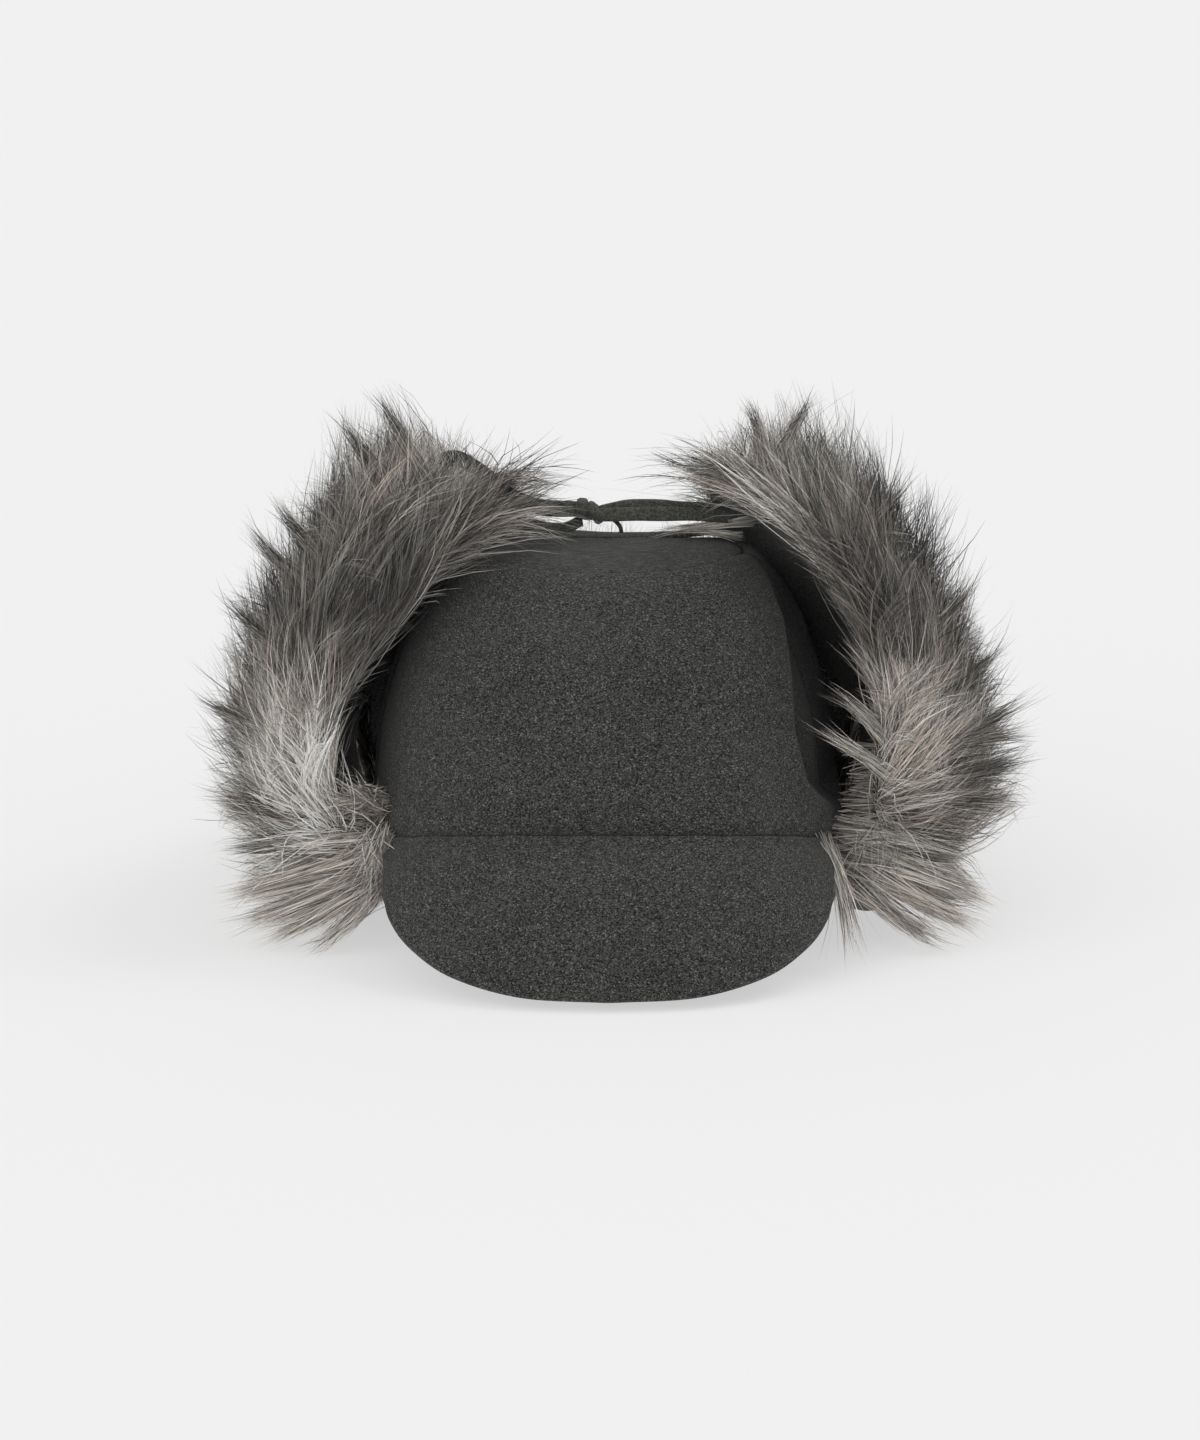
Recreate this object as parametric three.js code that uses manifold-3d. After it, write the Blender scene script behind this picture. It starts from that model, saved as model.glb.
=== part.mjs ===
// An earflap cap with its fur-lined flaps turned up and tied over the crown.
// Millimetres, +Z up, the front towards -Y, the wearer's left towards +X.
// It stands on the fold along the foot of its flaps.

import * as THREE from 'three';
import { mergeVertices } from 'three/addons/utils/BufferGeometryUtils.js';
import Module from 'manifold-3d';

const wasm = await Module();
wasm.setup();

// Driving sizes

const clothWall = 2;
const peakWall = 3;
const seamGap = 0.4;
const topSeamGap = 1.1;
const furGap = 1.2;
const furWall = 4;
const furFloor = 3;
const strapWidth = 5.8;
const strapWall = 1.6;
const knotSize = { x: 10, y: 7, z: 9 };
const knotCentre = { x: -7.3, y: -0.5, z: 155.8 };
const knotTurn = 15;
const knotSquareness = 4;

// The crown's seam with the peak lies in a plane that rises from the side to the front.
const seamHeightAtSide = 28.5;
const seamRisePerDepth = 0.285;
const crownHemHeight = 8.5;

// Azimuths round the head, in degrees from the front
const peakCorner = 70;
const flapFront = 72;
const sidePanelSeam = 83;
const flapBack = 134;
const neckGap = 2;
const hemReached = 84;

// The crown's rings, from the hem to the middle of the top. Their heights are given at the
// front, side and back, and square is the power of the ring's rounded outline.
const rings = [
  { zFront: 8, zSide: 8, zBack: 8, halfWidth: 87, front: 96, back: 98, square: 2.6 },
  { zFront: 36, zSide: 36, zBack: 36, halfWidth: 88, front: 98, back: 100, square: 2.7 },
  { zFront: 57, zSide: 57, zBack: 56, halfWidth: 87.5, front: 96, back: 98, square: 2.5 },
  { zFront: 83, zSide: 83, zBack: 80, halfWidth: 84, front: 89, back: 92, square: 2.35 },
  { zFront: 111, zSide: 112, zBack: 105, halfWidth: 74.5, front: 75, back: 80, square: 2.35 },
  { zFront: 130, zSide: 131, zBack: 120, halfWidth: 62.5, front: 56, back: 65, square: 2.4 },
  { zFront: 140, zSide: 141, zBack: 130, halfWidth: 50.5, front: 38, back: 50, square: 2.5 },
  { zFront: 143, zSide: 143, zBack: 137, halfWidth: 29, front: 20, back: 28, square: 2.4 },
  { zFront: 144, zSide: 144, zBack: 144, halfWidth: 0, front: 0, back: 0, square: 2.4 },
];
const topSeamLevel = 6 / 8;

// The peak's free edge, from its middle to its side, on the wearer's left.
const peakEdge = [
  { x: 0, y: -132, z: 3.4 },
  { x: 32, y: -128.5, z: 4.3 },
  { x: 57, y: -118, z: 8.6 },
  { x: 72, y: -105.5, z: 15.3 },
  { x: 80, y: -94, z: 22.6 },
  { x: 83.5, y: -84, z: 31 },
];
const peakCrowning = 7;
const peakCrowningAtSide = 0.4;
const peakCornerInset = 1.5;
const peakBelowCrown = 1.7;
const peakProudOfCrown = 0.6;

// The fold along the floor starts and ends at these shares of its reach from the hem.
const foldStart = 0.25;
const foldEnd = 0.85;

// The turned-up cloth, in ribs from the foot to the free edge. Each rib leaves the crown's
// hem, runs along the fold and climbs past a belly and a shoulder to its tip.
const flapLeftRibs = [
  { foldZ: 35, foldOut: 9, bellyX: 100, bellyY: -47, bellyZ: 78, shoulderX: 95, shoulderY: -38,
    shoulderZ: 122, tipX: 54, tipY: -9, tipZ: 165 },
  { foldZ: -2, foldOut: 17, bellyX: 110, bellyY: -16, bellyZ: 76, shoulderX: 90, shoulderY: -13,
    shoulderZ: 126, tipX: 40, tipY: 1, tipZ: 164 },
  { foldZ: -2, foldOut: 19, bellyX: 113, bellyY: 20, bellyZ: 74, shoulderX: 80, shoulderY: 20,
    shoulderZ: 123, tipX: 38, tipY: 22, tipZ: 161.5 },
  { foldZ: -2, foldOut: 19, bellyX: 98, bellyY: 64, bellyZ: 56, shoulderX: 68, shoulderY: 71,
    shoulderZ: 97, tipX: 43, tipY: 50, tipZ: 134 },
];
const flapRightRibs = [
  { foldZ: 35, foldOut: 9, bellyX: 103, bellyY: -48, bellyZ: 74, shoulderX: 89, shoulderY: -38,
    shoulderZ: 110, tipX: 48, tipY: -9, tipZ: 154 },
  { foldZ: -2, foldOut: 17, bellyX: 110, bellyY: -16, bellyZ: 74, shoulderX: 90, shoulderY: -13,
    shoulderZ: 120, tipX: 40, tipY: 1, tipZ: 156.5 },
  { foldZ: -2, foldOut: 19, bellyX: 111, bellyY: 20, bellyZ: 72, shoulderX: 82, shoulderY: 20,
    shoulderZ: 119, tipX: 38, tipY: 22, tipZ: 155.5 },
  { foldZ: -2, foldOut: 19, bellyX: 98, bellyY: 64, bellyZ: 56, shoulderX: 68, shoulderY: 71,
    shoulderZ: 96, tipX: 42, tipY: 50, tipZ: 133 },
];
const neckRibs = [
  { foldZ: -2, foldOut: 19, bellyX: 93, bellyY: 78, bellyZ: 42, shoulderX: 94, shoulderY: 77,
    shoulderZ: 60, tipX: 90, tipY: 75, tipZ: 79 },
  { foldZ: -2, foldOut: 19, bellyX: 48, bellyY: 117, bellyZ: 42, shoulderX: 49, shoulderY: 118,
    shoulderZ: 61, tipX: 46, tipY: 116, tipZ: 80 },
  { foldZ: -2, foldOut: 19, bellyX: 0, bellyY: 123, bellyZ: 42, shoulderX: 0, shoulderY: 124,
    shoulderZ: 61, tipX: 0, tipY: 122, tipZ: 80 },
  { foldZ: -2, foldOut: 19, bellyX: -48, bellyY: 117, bellyZ: 42, shoulderX: -49, shoulderY: 118,
    shoulderZ: 61, tipX: -46, tipY: 116, tipZ: 80 },
  { foldZ: -2, foldOut: 19, bellyX: -93, bellyY: 78, bellyZ: 42, shoulderX: -94, shoulderY: 77,
    shoulderZ: 60, tipX: -90, tipY: 75, tipZ: 79 },
];

// The fur's locks, a row for each height up the cloth, spread between the shares from and to
// of its length. A lock's way is out of the cloth by out, along it by climb, upright by lift
// and, near the front edge, to the front by forward.
const flapLocks = [
  { height: 0.44, from: 0, to: 0.3, count: 3, length: 52, width: 26,
    out: 1, climb: 0, lift: 0.15, forward: -0.25 },
  { height: 0.47, from: 0, to: 0.96, count: 6, length: 44, width: 24,
    out: 1, climb: 0, lift: 0.4, forward: 0.8 },
  { height: 0.53, from: 0, to: 1, count: 6, length: 42, width: 24,
    out: 1, climb: 0.2, lift: 0.15, forward: 0.6 },
  { height: 0.61, from: 0, to: 1, count: 6, length: 42, width: 24,
    out: 1, climb: 0.5, lift: 0.3, forward: 0.4 },
  { height: 0.7, from: 0, to: 1, count: 6, length: 46, width: 24,
    out: 0.7, climb: 0.6, lift: 0.5, forward: 0.3 },
  { height: 0.8, from: 0, to: 1, count: 6, length: 50, width: 24,
    out: 0.5, climb: 0.5, lift: 0.8, forward: 0.2 },
  { height: 0.89, from: 0, to: 1, count: 5, length: 40, width: 22,
    out: 0.3, climb: 0.6, lift: 0.9, forward: 0.2 },
  { height: 0.97, from: 0, to: 1, count: 4, length: 36, width: 20,
    out: 0.1, climb: 1, lift: 0.2, forward: 0.2 },
];
const neckLocks = [
  { height: 0.48, from: 0, to: 1, count: 7, length: 40, width: 30,
    out: 1, climb: 0, lift: 0.35, forward: 0 },
  { height: 0.6, from: 0, to: 1, count: 8, length: 46, width: 28,
    out: 1, climb: 0.5, lift: 0.2, forward: 0 },
  { height: 0.78, from: 0, to: 1, count: 7, length: 42, width: 28,
    out: 0.7, climb: 0.9, lift: 0.2, forward: 0 },
  { height: 0.95, from: 0, to: 1, count: 8, length: 32, width: 26,
    out: 0.5, climb: 1.2, lift: 0, forward: 0 },
];
const lockDepth = 0.5;
const lockBend = 0.25;
const lockRootFullness = 0.5;
const lockTipFullness = 1.1;
const lockRootRise = 0.3;
const lockStagger = 0.25;
const lockEndInset = 0.04;

// The cloth's grid runs from its hem to its free edge, and the fur starts part way up it.
const clothRows = 15;
const furFirstRow = 7;

// Materials

const cloth = { color: 0x3e3e3c, roughness: 0.95, metalness: 0 };
const strapCloth = { color: 0x494a46, roughness: 0.95, metalness: 0 };
const fur = { color: 0x857f79, roughness: 0.85, metalness: 0 };

// Curves and tables

const degrees = Math.PI / 180;
const up = new THREE.Vector3(0, 0, 1);

// Reads a column of a table at a share of its length, on a smooth curve through its rows.
function column(rows, name, share) {
  const last = rows.length - 1;
  const at = THREE.MathUtils.clamp(share, 0, 1) * last;
  const row = Math.min(Math.floor(at), last - 1);
  const f = at - row;
  const b = rows[row][name];
  const c = rows[row + 1][name];
  const a = row > 0 ? rows[row - 1][name] : 2 * b - c;
  const d = row < last - 1 ? rows[row + 2][name] : 2 * c - b;
  const square = 2 * a - 5 * b + 4 * c - d;
  const cube = 3 * b - a - 3 * c + d;
  return 0.5 * (2 * b + (c - a) * f + square * f * f + cube * f * f * f);
}

function columns(rows, names, share) {
  return new THREE.Vector3(...names.map((name) => column(rows, name, share)));
}

function outline(value, power) {
  return Math.sign(value) * Math.abs(value) ** power;
}

// A surface's normal by its neighbours: the cross product of its two directions.
function normalOf(surface, u, v) {
  const step = 0.01;
  const across = surface(Math.min(u + step, 1), v).sub(surface(Math.max(u - step, 0), v));
  const along = surface(u, Math.min(v + step, 1)).sub(surface(u, Math.max(v - step, 0)));
  return across.cross(along).normalize();
}

function upwardsOn(surface, u, v) {
  const step = 0.02;
  return surface(u, Math.min(v + step, 1)).sub(surface(u, Math.max(v - step, 0))).normalize();
}

// Solids

function onlyPositions(geometry) {
  const bare = geometry.clone();
  bare.deleteAttribute('normal');
  bare.deleteAttribute('uv');
  return mergeVertices(bare, 1e-4);
}

// A grid of points over a surface, with coinciding points merged and empty faces left out.
function gridGeometry(surface, across, along) {
  const geometry = new THREE.PlaneGeometry(1, 1, across, along);
  const position = geometry.attributes.position;
  for (let i = 0; i < position.count; i += 1) {
    const p = surface(position.getX(i) + 0.5, position.getY(i) + 0.5);
    position.setXYZ(i, p.x, p.y, p.z);
  }
  const merged = onlyPositions(geometry);
  const index = [];
  for (let i = 0; i < merged.index.count; i += 3) {
    const [a, b, c] = [0, 1, 2].map((k) => merged.index.getX(i + k));
    if (a !== b && b !== c && c !== a) {
      index.push(a, b, c);
    }
  }
  merged.setIndex(index);
  return merged;
}

function signedVolume(geometry) {
  const corner = [0, 1, 2].map(() => new THREE.Vector3());
  let sum = 0;
  for (let i = 0; i < geometry.index.count; i += 3) {
    corner.forEach((p, k) => p.fromBufferAttribute(geometry.attributes.position, geometry.index.getX(i + k)));
    sum += corner[0].dot(corner[1].cross(corner[2])) / 6;
  }
  return sum;
}

function facingOut(geometry) {
  if (signedVolume(geometry) < 0) {
    geometry.setIndex(Array.from(geometry.index.array).reverse());
  }
  geometry.computeVertexNormals();
  return geometry;
}

// A closed wall of even thickness whose middle is the surface: the surface moved both ways
// along its normals, with a strip of faces round every open edge.
function wallOf(surface, across, along, thickness) {
  const middle = gridGeometry(surface, across, along);
  middle.computeVertexNormals();
  const { position, normal } = middle.attributes;
  const count = position.count;
  const points = [];
  for (const side of [0.5, -0.5]) {
    for (let i = 0; i < count; i += 1) {
      const n = new THREE.Vector3().fromBufferAttribute(normal, i);
      const p = new THREE.Vector3().fromBufferAttribute(position, i);
      points.push(...p.addScaledVector(n, side * thickness).toArray());
    }
  }
  const faces = Array.from(middle.index.array);
  const index = [...faces];
  const edges = new Set();
  for (let i = 0; i < faces.length; i += 3) {
    const [a, b, c] = faces.slice(i, i + 3);
    index.push(c + count, b + count, a + count);
    edges.add(`${a} ${b}`).add(`${b} ${c}`).add(`${c} ${a}`);
  }
  for (const edge of edges) {
    const [a, b] = edge.split(' ').map(Number);
    if (!edges.has(`${b} ${a}`)) {
      index.push(b, a, a + count, b, a + count, b + count);
    }
  }
  const geometry = new THREE.BufferGeometry();
  geometry.setAttribute('position', new THREE.Float32BufferAttribute(points, 3));
  geometry.setIndex(index);
  return facingOut(geometry);
}

function toManifold(geometry) {
  const merged = onlyPositions(geometry);
  return new wasm.Manifold(new wasm.Mesh({
    numProp: 3,
    vertProperties: new Float32Array(merged.attributes.position.array),
    triVerts: new Uint32Array(merged.index.array),
  }));
}

// Faces that share corners are one skin. The first corner of a skin stands for all of it.
function skinOfEachFace(faces, corners) {
  const leader = Array.from({ length: corners }, (_, i) => i);
  const find = (i) => {
    let at = i;
    while (leader[at] !== at) {
      leader[at] = leader[leader[at]];
      at = leader[at];
    }
    return at;
  };
  for (let i = 0; i < faces.length; i += 3) {
    leader[find(faces[i + 1])] = find(faces[i]);
    leader[find(faces[i + 2])] = find(faces[i]);
  }
  return (face) => find(faces[face]);
}

// The outermost skin of a joined solid, so that no hollow is left sealed between its parts.
function outerSkin(solid) {
  const mesh = solid.getMesh();
  const faces = Array.from(mesh.triVerts);
  const skinOf = skinOfEachFace(faces, mesh.numVert);
  const skins = new Map();
  for (let i = 0; i < faces.length; i += 3) {
    const skin = skinOf(i);
    skins.set(skin, [...(skins.get(skin) ?? []), ...faces.slice(i, i + 3)]);
  }
  const geometries = [...skins.values()].map((index) => {
    const geometry = new THREE.BufferGeometry();
    geometry.setAttribute('position', new THREE.BufferAttribute(mesh.vertProperties, 3));
    geometry.setIndex(index);
    return geometry;
  });
  geometries.sort((a, b) => signedVolume(b) - signedVolume(a));
  return facingOut(onlyPositions(geometries[0]));
}

const cap = new THREE.Group();

function addPiece(name, geometry, finish) {
  const piece = new THREE.Mesh(geometry, new THREE.MeshStandardMaterial(finish));
  piece.name = name;
  cap.add(piece);
}

// Crown

function crownPoint(azimuth, level) {
  const c = Math.cos(azimuth * degrees);
  const s = Math.sin(azimuth * degrees);
  const power = 2 / column(rings, 'square', level);
  const reach = column(rings, c > 0 ? 'front' : 'back', level);
  const [zFront, zSide, zBack] = ['zFront', 'zSide', 'zBack'].map((name) => column(rings, name, level));
  const z = zSide + ((zFront - zBack) / 2) * c + ((zFront + zBack) / 2 - zSide) * c * c;
  const width = column(rings, 'halfWidth', level);
  return new THREE.Vector3(width * outline(s, power), -reach * outline(c, power), z);
}

// The crown's lower edge: the peak's seam in front, falling past its corners to the hem.
function lowerEdgeHeight(azimuth) {
  const away = Math.abs(azimuth);
  const depth = -crownPoint(Math.min(away, peakCorner), 0.25).y;
  const seam = seamHeightAtSide + seamRisePerDepth * depth;
  const fall = THREE.MathUtils.smoothstep(away, peakCorner, hemReached);
  return THREE.MathUtils.lerp(seam, crownHemHeight, fall);
}

function levelAtHeight(azimuth, height) {
  let [low, high] = [0, topSeamLevel];
  const halvings = 24;
  for (let i = 0; i < halvings; i += 1) {
    const middle = (low + high) / 2;
    if (crownPoint(azimuth, middle).z < height) {
      low = middle;
    } else {
      high = middle;
    }
  }
  return low;
}

function lowerEdge(azimuth) {
  return crownPoint(azimuth, levelAtHeight(azimuth, lowerEdgeHeight(azimuth)));
}

function outwardAt(azimuth) {
  const along = crownPoint(azimuth + 1, 0.1).sub(crownPoint(azimuth - 1, 0.1));
  return along.cross(up).setZ(0).normalize();
}

// The azimuth that lies half a seam's gap past another one, at a level.
function pastSeam(azimuth, level, way) {
  const speed = crownPoint(azimuth + 0.5, level).distanceTo(crownPoint(azimuth - 0.5, level));
  return azimuth + (way * seamGap) / 2 / speed;
}

function levelPastTopSeam(azimuth, way) {
  const step = 0.01;
  const speed = crownPoint(azimuth, topSeamLevel + step).distanceTo(crownPoint(azimuth, topSeamLevel - step));
  return topSeamLevel + (way * topSeamGap * step) / speed;
}

function crownPanel(from, to) {
  return (u, v) => {
    const azimuth = THREE.MathUtils.lerp(from, to, u);
    const start = levelAtHeight(azimuth, lowerEdgeHeight(azimuth));
    const level = THREE.MathUtils.lerp(start, levelPastTopSeam(azimuth, -1), v);
    const first = pastSeam(from, level, 1);
    const last = pastSeam(to, level, -1);
    return crownPoint(THREE.MathUtils.lerp(first, last, u), level);
  };
}

function crownTop(u, v) {
  const azimuth = 360 * u;
  return crownPoint(azimuth, THREE.MathUtils.lerp(levelPastTopSeam(azimuth, 1), 1, v));
}

addPiece('crown_front', wallOf(crownPanel(-sidePanelSeam, sidePanelSeam), 20, 10, clothWall), cloth);
addPiece('crown_left', wallOf(crownPanel(sidePanelSeam, 180), 10, 10, clothWall), cloth);
addPiece('crown_right', wallOf(crownPanel(-180, -sidePanelSeam), 10, 10, clothWall), cloth);
addPiece('crown_top', wallOf(crownTop, 24, 3, clothWall), cloth);

// Peak: from a line just below the crown's seam to its free edge, crowned in between

const peakOutward = new THREE.Vector3(0, -0.55, 0.8);

function peakSurface(u, v) {
  const across = 2 * u - 1;
  const azimuth = (peakCorner - peakCornerInset) * across;
  const seam = lowerEdge(azimuth).addScaledVector(outwardAt(azimuth), peakProudOfCrown);
  seam.z -= peakBelowCrown;
  const edge = columns(peakEdge, ['x', 'y', 'z'], Math.abs(across));
  edge.x *= Math.sign(across);
  const point = seam.lerp(edge, v);
  const lift = Math.sin(Math.PI * v) * THREE.MathUtils.lerp(1, peakCrowningAtSide, across * across);
  return point.addScaledVector(peakOutward, peakCrowning * lift);
}

addPiece('peak', wallOf(peakSurface, 18, 6, peakWall), cloth);

// Turned-up cloth

function foldedCloth({ ribs, from, to, mirror }) {
  return (u, v) => {
    const azimuth = THREE.MathUtils.lerp(from, to, u) * mirror;
    const out = outwardAt(azimuth);
    const hem = lowerEdge(azimuth).addScaledVector(out, clothWall + seamGap);
    const foldOut = column(ribs, 'foldOut', u);
    const foldZ = column(ribs, 'foldZ', u);
    const inner = hem.clone().addScaledVector(out, foldStart * foldOut).setZ(foldZ);
    const outer = hem.clone().addScaledVector(out, foldEnd * foldOut).setZ(foldZ);
    const climbing = ['belly', 'shoulder', 'tip'].map((part) => {
      const p = columns(ribs, [`${part}X`, `${part}Y`, `${part}Z`], u);
      return p.setX(p.x * mirror);
    });
    const rib = new THREE.CatmullRomCurve3([hem, inner, outer, ...climbing], false, 'centripetal');
    const point = rib.getPoint(v);
    point.z = Math.max(point.z, clothWall / 2);
    return point;
  };
}

// A flap's cloth and fur, and the straps that pass through its fur
const foldedPieces = [
  { cloth: 'flap_left', fur: 'fur_left', ribs: flapLeftRibs, from: flapFront, to: flapBack,
    mirror: 1, across: 10, locks: flapLocks, passing: [] },
  { cloth: 'flap_right', fur: 'fur_right', ribs: flapRightRibs, from: flapFront, to: flapBack,
    mirror: -1, across: 10, locks: flapLocks, passing: ['tie_right'] },
  { cloth: 'neck_flap', fur: 'fur_neck', ribs: neckRibs, from: flapBack + neckGap,
    to: 360 - flapBack - neckGap, mirror: 1, across: 12, locks: neckLocks, passing: [] },
];

// Ties

// A flat strap along a smooth route. turn is the angle of its width from upright, and
// clearance makes it larger all round, for cutting what it passes through.
function strapSolid({ route, turn, width }, clearance) {
  const points = route.map(({ x, y, z }) => new THREE.Vector3(x, y, z));
  const path = new THREE.CatmullRomCurve3(points, false, 'centripetal');
  const across = new THREE.Vector3(0, Math.sin(turn * degrees), Math.cos(turn * degrees));
  const surface = (u, v) => path.getPoint(u).addScaledVector(across, (v - 0.5) * (width + 2 * clearance));
  return wallOf(surface, 3 * route.length, 1, strapWall + 2 * clearance);
}

const straps = [
  { name: 'tie_right', turn: 15, width: strapWidth, route: [
    { x: -60, y: 24, z: 173.5 }, { x: -48, y: 14, z: 169 }, { x: -37, y: 5, z: 161.8 },
    { x: -26, y: 1, z: 158 }, { x: -13.5, y: -1, z: 157.3 },
  ] },
  { name: 'tie_right_lower', turn: 35, width: strapWidth, route: [
    { x: -35.5, y: 3, z: 151.2 }, { x: -30, y: 3, z: 149.9 }, { x: -22, y: 2.5, z: 149 },
    { x: -13.5, y: 1.5, z: 150.6 },
  ] },
  { name: 'tie_left', turn: 20, width: strapWidth, route: [
    { x: -1.5, y: -1, z: 154.8 }, { x: 14, y: -1, z: 155.4 }, { x: 34, y: 0, z: 155 },
    { x: 46, y: 2, z: 154 },
  ] },
  { name: 'tie_loop', turn: 20, width: strapWidth, route: [
    { x: -1.5, y: 3, z: 155 }, { x: 5, y: 4, z: 156.8 }, { x: 15, y: 4.5, z: 157.9 },
    { x: 30, y: 4, z: 157 }, { x: 42, y: 5, z: 156 },
  ] },
  { name: 'tie_under', turn: 78, width: strapWidth, route: [
    { x: -44, y: 12, z: 145.4 }, { x: -30, y: 9.5, z: 146.2 }, { x: 0, y: 9, z: 146.5 },
    { x: 18, y: 9.5, z: 146.6 }, { x: 31, y: 9.5, z: 147.8 }, { x: 44, y: 10, z: 149.8 },
  ] },
  { name: 'tie_end', turn: 90, width: 2.4, route: [
    { x: 0.6, y: 3.8, z: 151.9 }, { x: 2.2, y: 4.4, z: 149.9 }, { x: 3.2, y: 4.8, z: 147.8 },
  ] },
];

// Fur

// One lock: a four-sided cone bent along a curve, wide across and thin through. Its root is
// lifted off the cloth by as much as its base reaches back towards the cloth.
function furLock(place, out, sideways, direction, { length, width }) {
  const cone = new THREE.ConeGeometry(1, 1, 4, 2);
  const position = cone.attributes.position;
  const through = direction.clone().cross(sideways).normalize();
  const across = through.clone().cross(direction);
  const reach = (width / 2) * (lockDepth * Math.abs(through.dot(out)) + Math.abs(across.dot(out)));
  const root = place.clone().addScaledVector(out, Math.max(reach, furWall / 2));
  root.z = Math.max(root.z, furFloor + width * lockRootRise);
  const bent = direction.clone().addScaledVector(up, lockBend).normalize();
  const path = new THREE.QuadraticBezierCurve3(
    root,
    root.clone().addScaledVector(direction, length / 2),
    root.clone().addScaledVector(direction, length / 2).addScaledVector(bent, length / 2),
  );
  for (let i = 0; i < position.count; i += 1) {
    const share = position.getY(i) + 0.5;
    const fullness = THREE.MathUtils.lerp(lockRootFullness, lockTipFullness, share) * width;
    const point = path.getPoint(share);
    point.addScaledVector(across, position.getX(i) * fullness);
    point.addScaledVector(through, position.getZ(i) * fullness * lockDepth);
    position.setXYZ(i, point.x, point.y, Math.max(point.z, furFloor));
  }
  return facingOut(onlyPositions(cone));
}

// The fur's backing follows the cloth's own grid, from the first row above the fold.
function furSolid(surface, { mirror, across, locks, passing }) {
  const offset = clothWall / 2 + furGap + furWall / 2;
  const first = furFirstRow / clothRows;
  const backing = (u, v) => {
    const height = THREE.MathUtils.lerp(first, 1, v);
    return surface(u, height).addScaledVector(normalOf(surface, u, height), mirror * offset);
  };
  let solid = toManifold(wallOf(backing, across, clothRows - furFirstRow, furWall));
  locks.forEach((row, number) => {
    for (let i = 0; i < row.count; i += 1) {
      const stagger = number % 2 ? lockStagger : -lockStagger;
      const share = THREE.MathUtils.clamp((i + 0.5 + stagger) / row.count, lockEndInset, 1 - lockEndInset);
      const u = THREE.MathUtils.lerp(row.from, row.to, share);
      const out = normalOf(surface, u, row.height).multiplyScalar(mirror);
      const along = upwardsOn(surface, u, row.height);
      const sideways = out.clone().cross(along);
      const direction = out.clone().multiplyScalar(row.out);
      direction.addScaledVector(along, row.climb).addScaledVector(up, row.lift);
      direction.y -= row.forward * (1 - u) ** 2;
      const place = surface(u, row.height).addScaledVector(out, clothWall / 2 + furGap);
      solid = solid.add(toManifold(furLock(place, out, sideways, direction.normalize(), row)));
    }
  });
  for (const piece of straps.filter(({ name }) => passing.includes(name))) {
    solid = solid.subtract(toManifold(strapSolid(piece, seamGap)));
  }
  return outerSkin(solid);
}

for (const folded of foldedPieces) {
  const surface = foldedCloth(folded);
  addPiece(folded.cloth, wallOf(surface, folded.across, clothRows, clothWall), cloth);
  addPiece(folded.fur, furSolid(surface, folded), fur);
}

for (const piece of straps) {
  addPiece(piece.name, strapSolid(piece, 0), strapCloth);
}

// The knot: a sphere squared towards a box by the power of its outline
function squared(point, power) {
  const sum = point.toArray().reduce((total, value) => total + Math.abs(value) ** power, 0);
  return point.divideScalar(sum ** (1 / power));
}

function knotSolid() {
  const ball = onlyPositions(new THREE.SphereGeometry(1, 12, 8));
  ball.rotateX(Math.PI / 2);
  const position = ball.attributes.position;
  for (let i = 0; i < position.count; i += 1) {
    const p = squared(new THREE.Vector3().fromBufferAttribute(position, i), knotSquareness);
    position.setXYZ(i, (p.x * knotSize.x) / 2, (p.y * knotSize.y) / 2, (p.z * knotSize.z) / 2);
  }
  ball.rotateY(knotTurn * degrees);
  ball.translate(knotCentre.x, knotCentre.y, knotCentre.z);
  return facingOut(ball);
}

addPiece('tie_knot', knotSolid(), strapCloth);

// The whole stands centred over its origin.
const extent = new THREE.Box3().setFromObject(cap, true);
const centre = extent.getCenter(new THREE.Vector3());
cap.position.set(-centre.x, -centre.y, -extent.min.z);

export default cap;
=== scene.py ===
import bmesh
import bpy
import numpy as np
from math import radians
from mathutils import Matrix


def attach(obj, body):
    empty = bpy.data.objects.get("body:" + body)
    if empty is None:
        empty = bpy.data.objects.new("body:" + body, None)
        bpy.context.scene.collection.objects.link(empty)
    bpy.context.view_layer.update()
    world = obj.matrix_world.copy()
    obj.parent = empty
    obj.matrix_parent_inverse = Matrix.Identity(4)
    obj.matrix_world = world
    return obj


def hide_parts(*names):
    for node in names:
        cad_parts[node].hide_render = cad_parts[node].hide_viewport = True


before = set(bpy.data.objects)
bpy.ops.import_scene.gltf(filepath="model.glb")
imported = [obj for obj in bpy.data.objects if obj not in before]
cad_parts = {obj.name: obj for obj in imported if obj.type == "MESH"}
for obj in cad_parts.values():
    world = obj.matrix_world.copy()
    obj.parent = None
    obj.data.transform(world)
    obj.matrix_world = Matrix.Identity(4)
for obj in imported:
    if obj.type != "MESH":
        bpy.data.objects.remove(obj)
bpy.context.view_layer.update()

# An earflap cap of heather cloth, its fur-lined flaps turned up and tied over the crown.
# Shapes are worked out in millimetres round the crown's own middle, the front towards -Y and
# the wearer's left towards +X, and moved to the model's frame in metres as a mesh is made.

rowShift = np.array([-0.108, -16.712, 0.0])  # from the crown's middle to the model's frame, mm


# Camera: in front, looking down by 15 degrees as the photograph's does
cameraValues = dict(place=(-0.0032, -2.4129, 0.7164), downBy=15.0, lens=163.6)

cameraData = bpy.data.cameras.new("photoCamera")
cameraData.lens = cameraValues["lens"]
photoCamera = bpy.data.objects.new("photoCamera", cameraData)
photoCamera.location = cameraValues["place"]
photoCamera.rotation_euler = (radians(90 - cameraValues["downBy"]), 0, 0)
bpy.context.scene.collection.objects.link(photoCamera)
bpy.context.scene.camera = photoCamera
bpy.context.scene.view_settings.view_transform = "Standard"
print("camera set")


# Small tools

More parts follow.
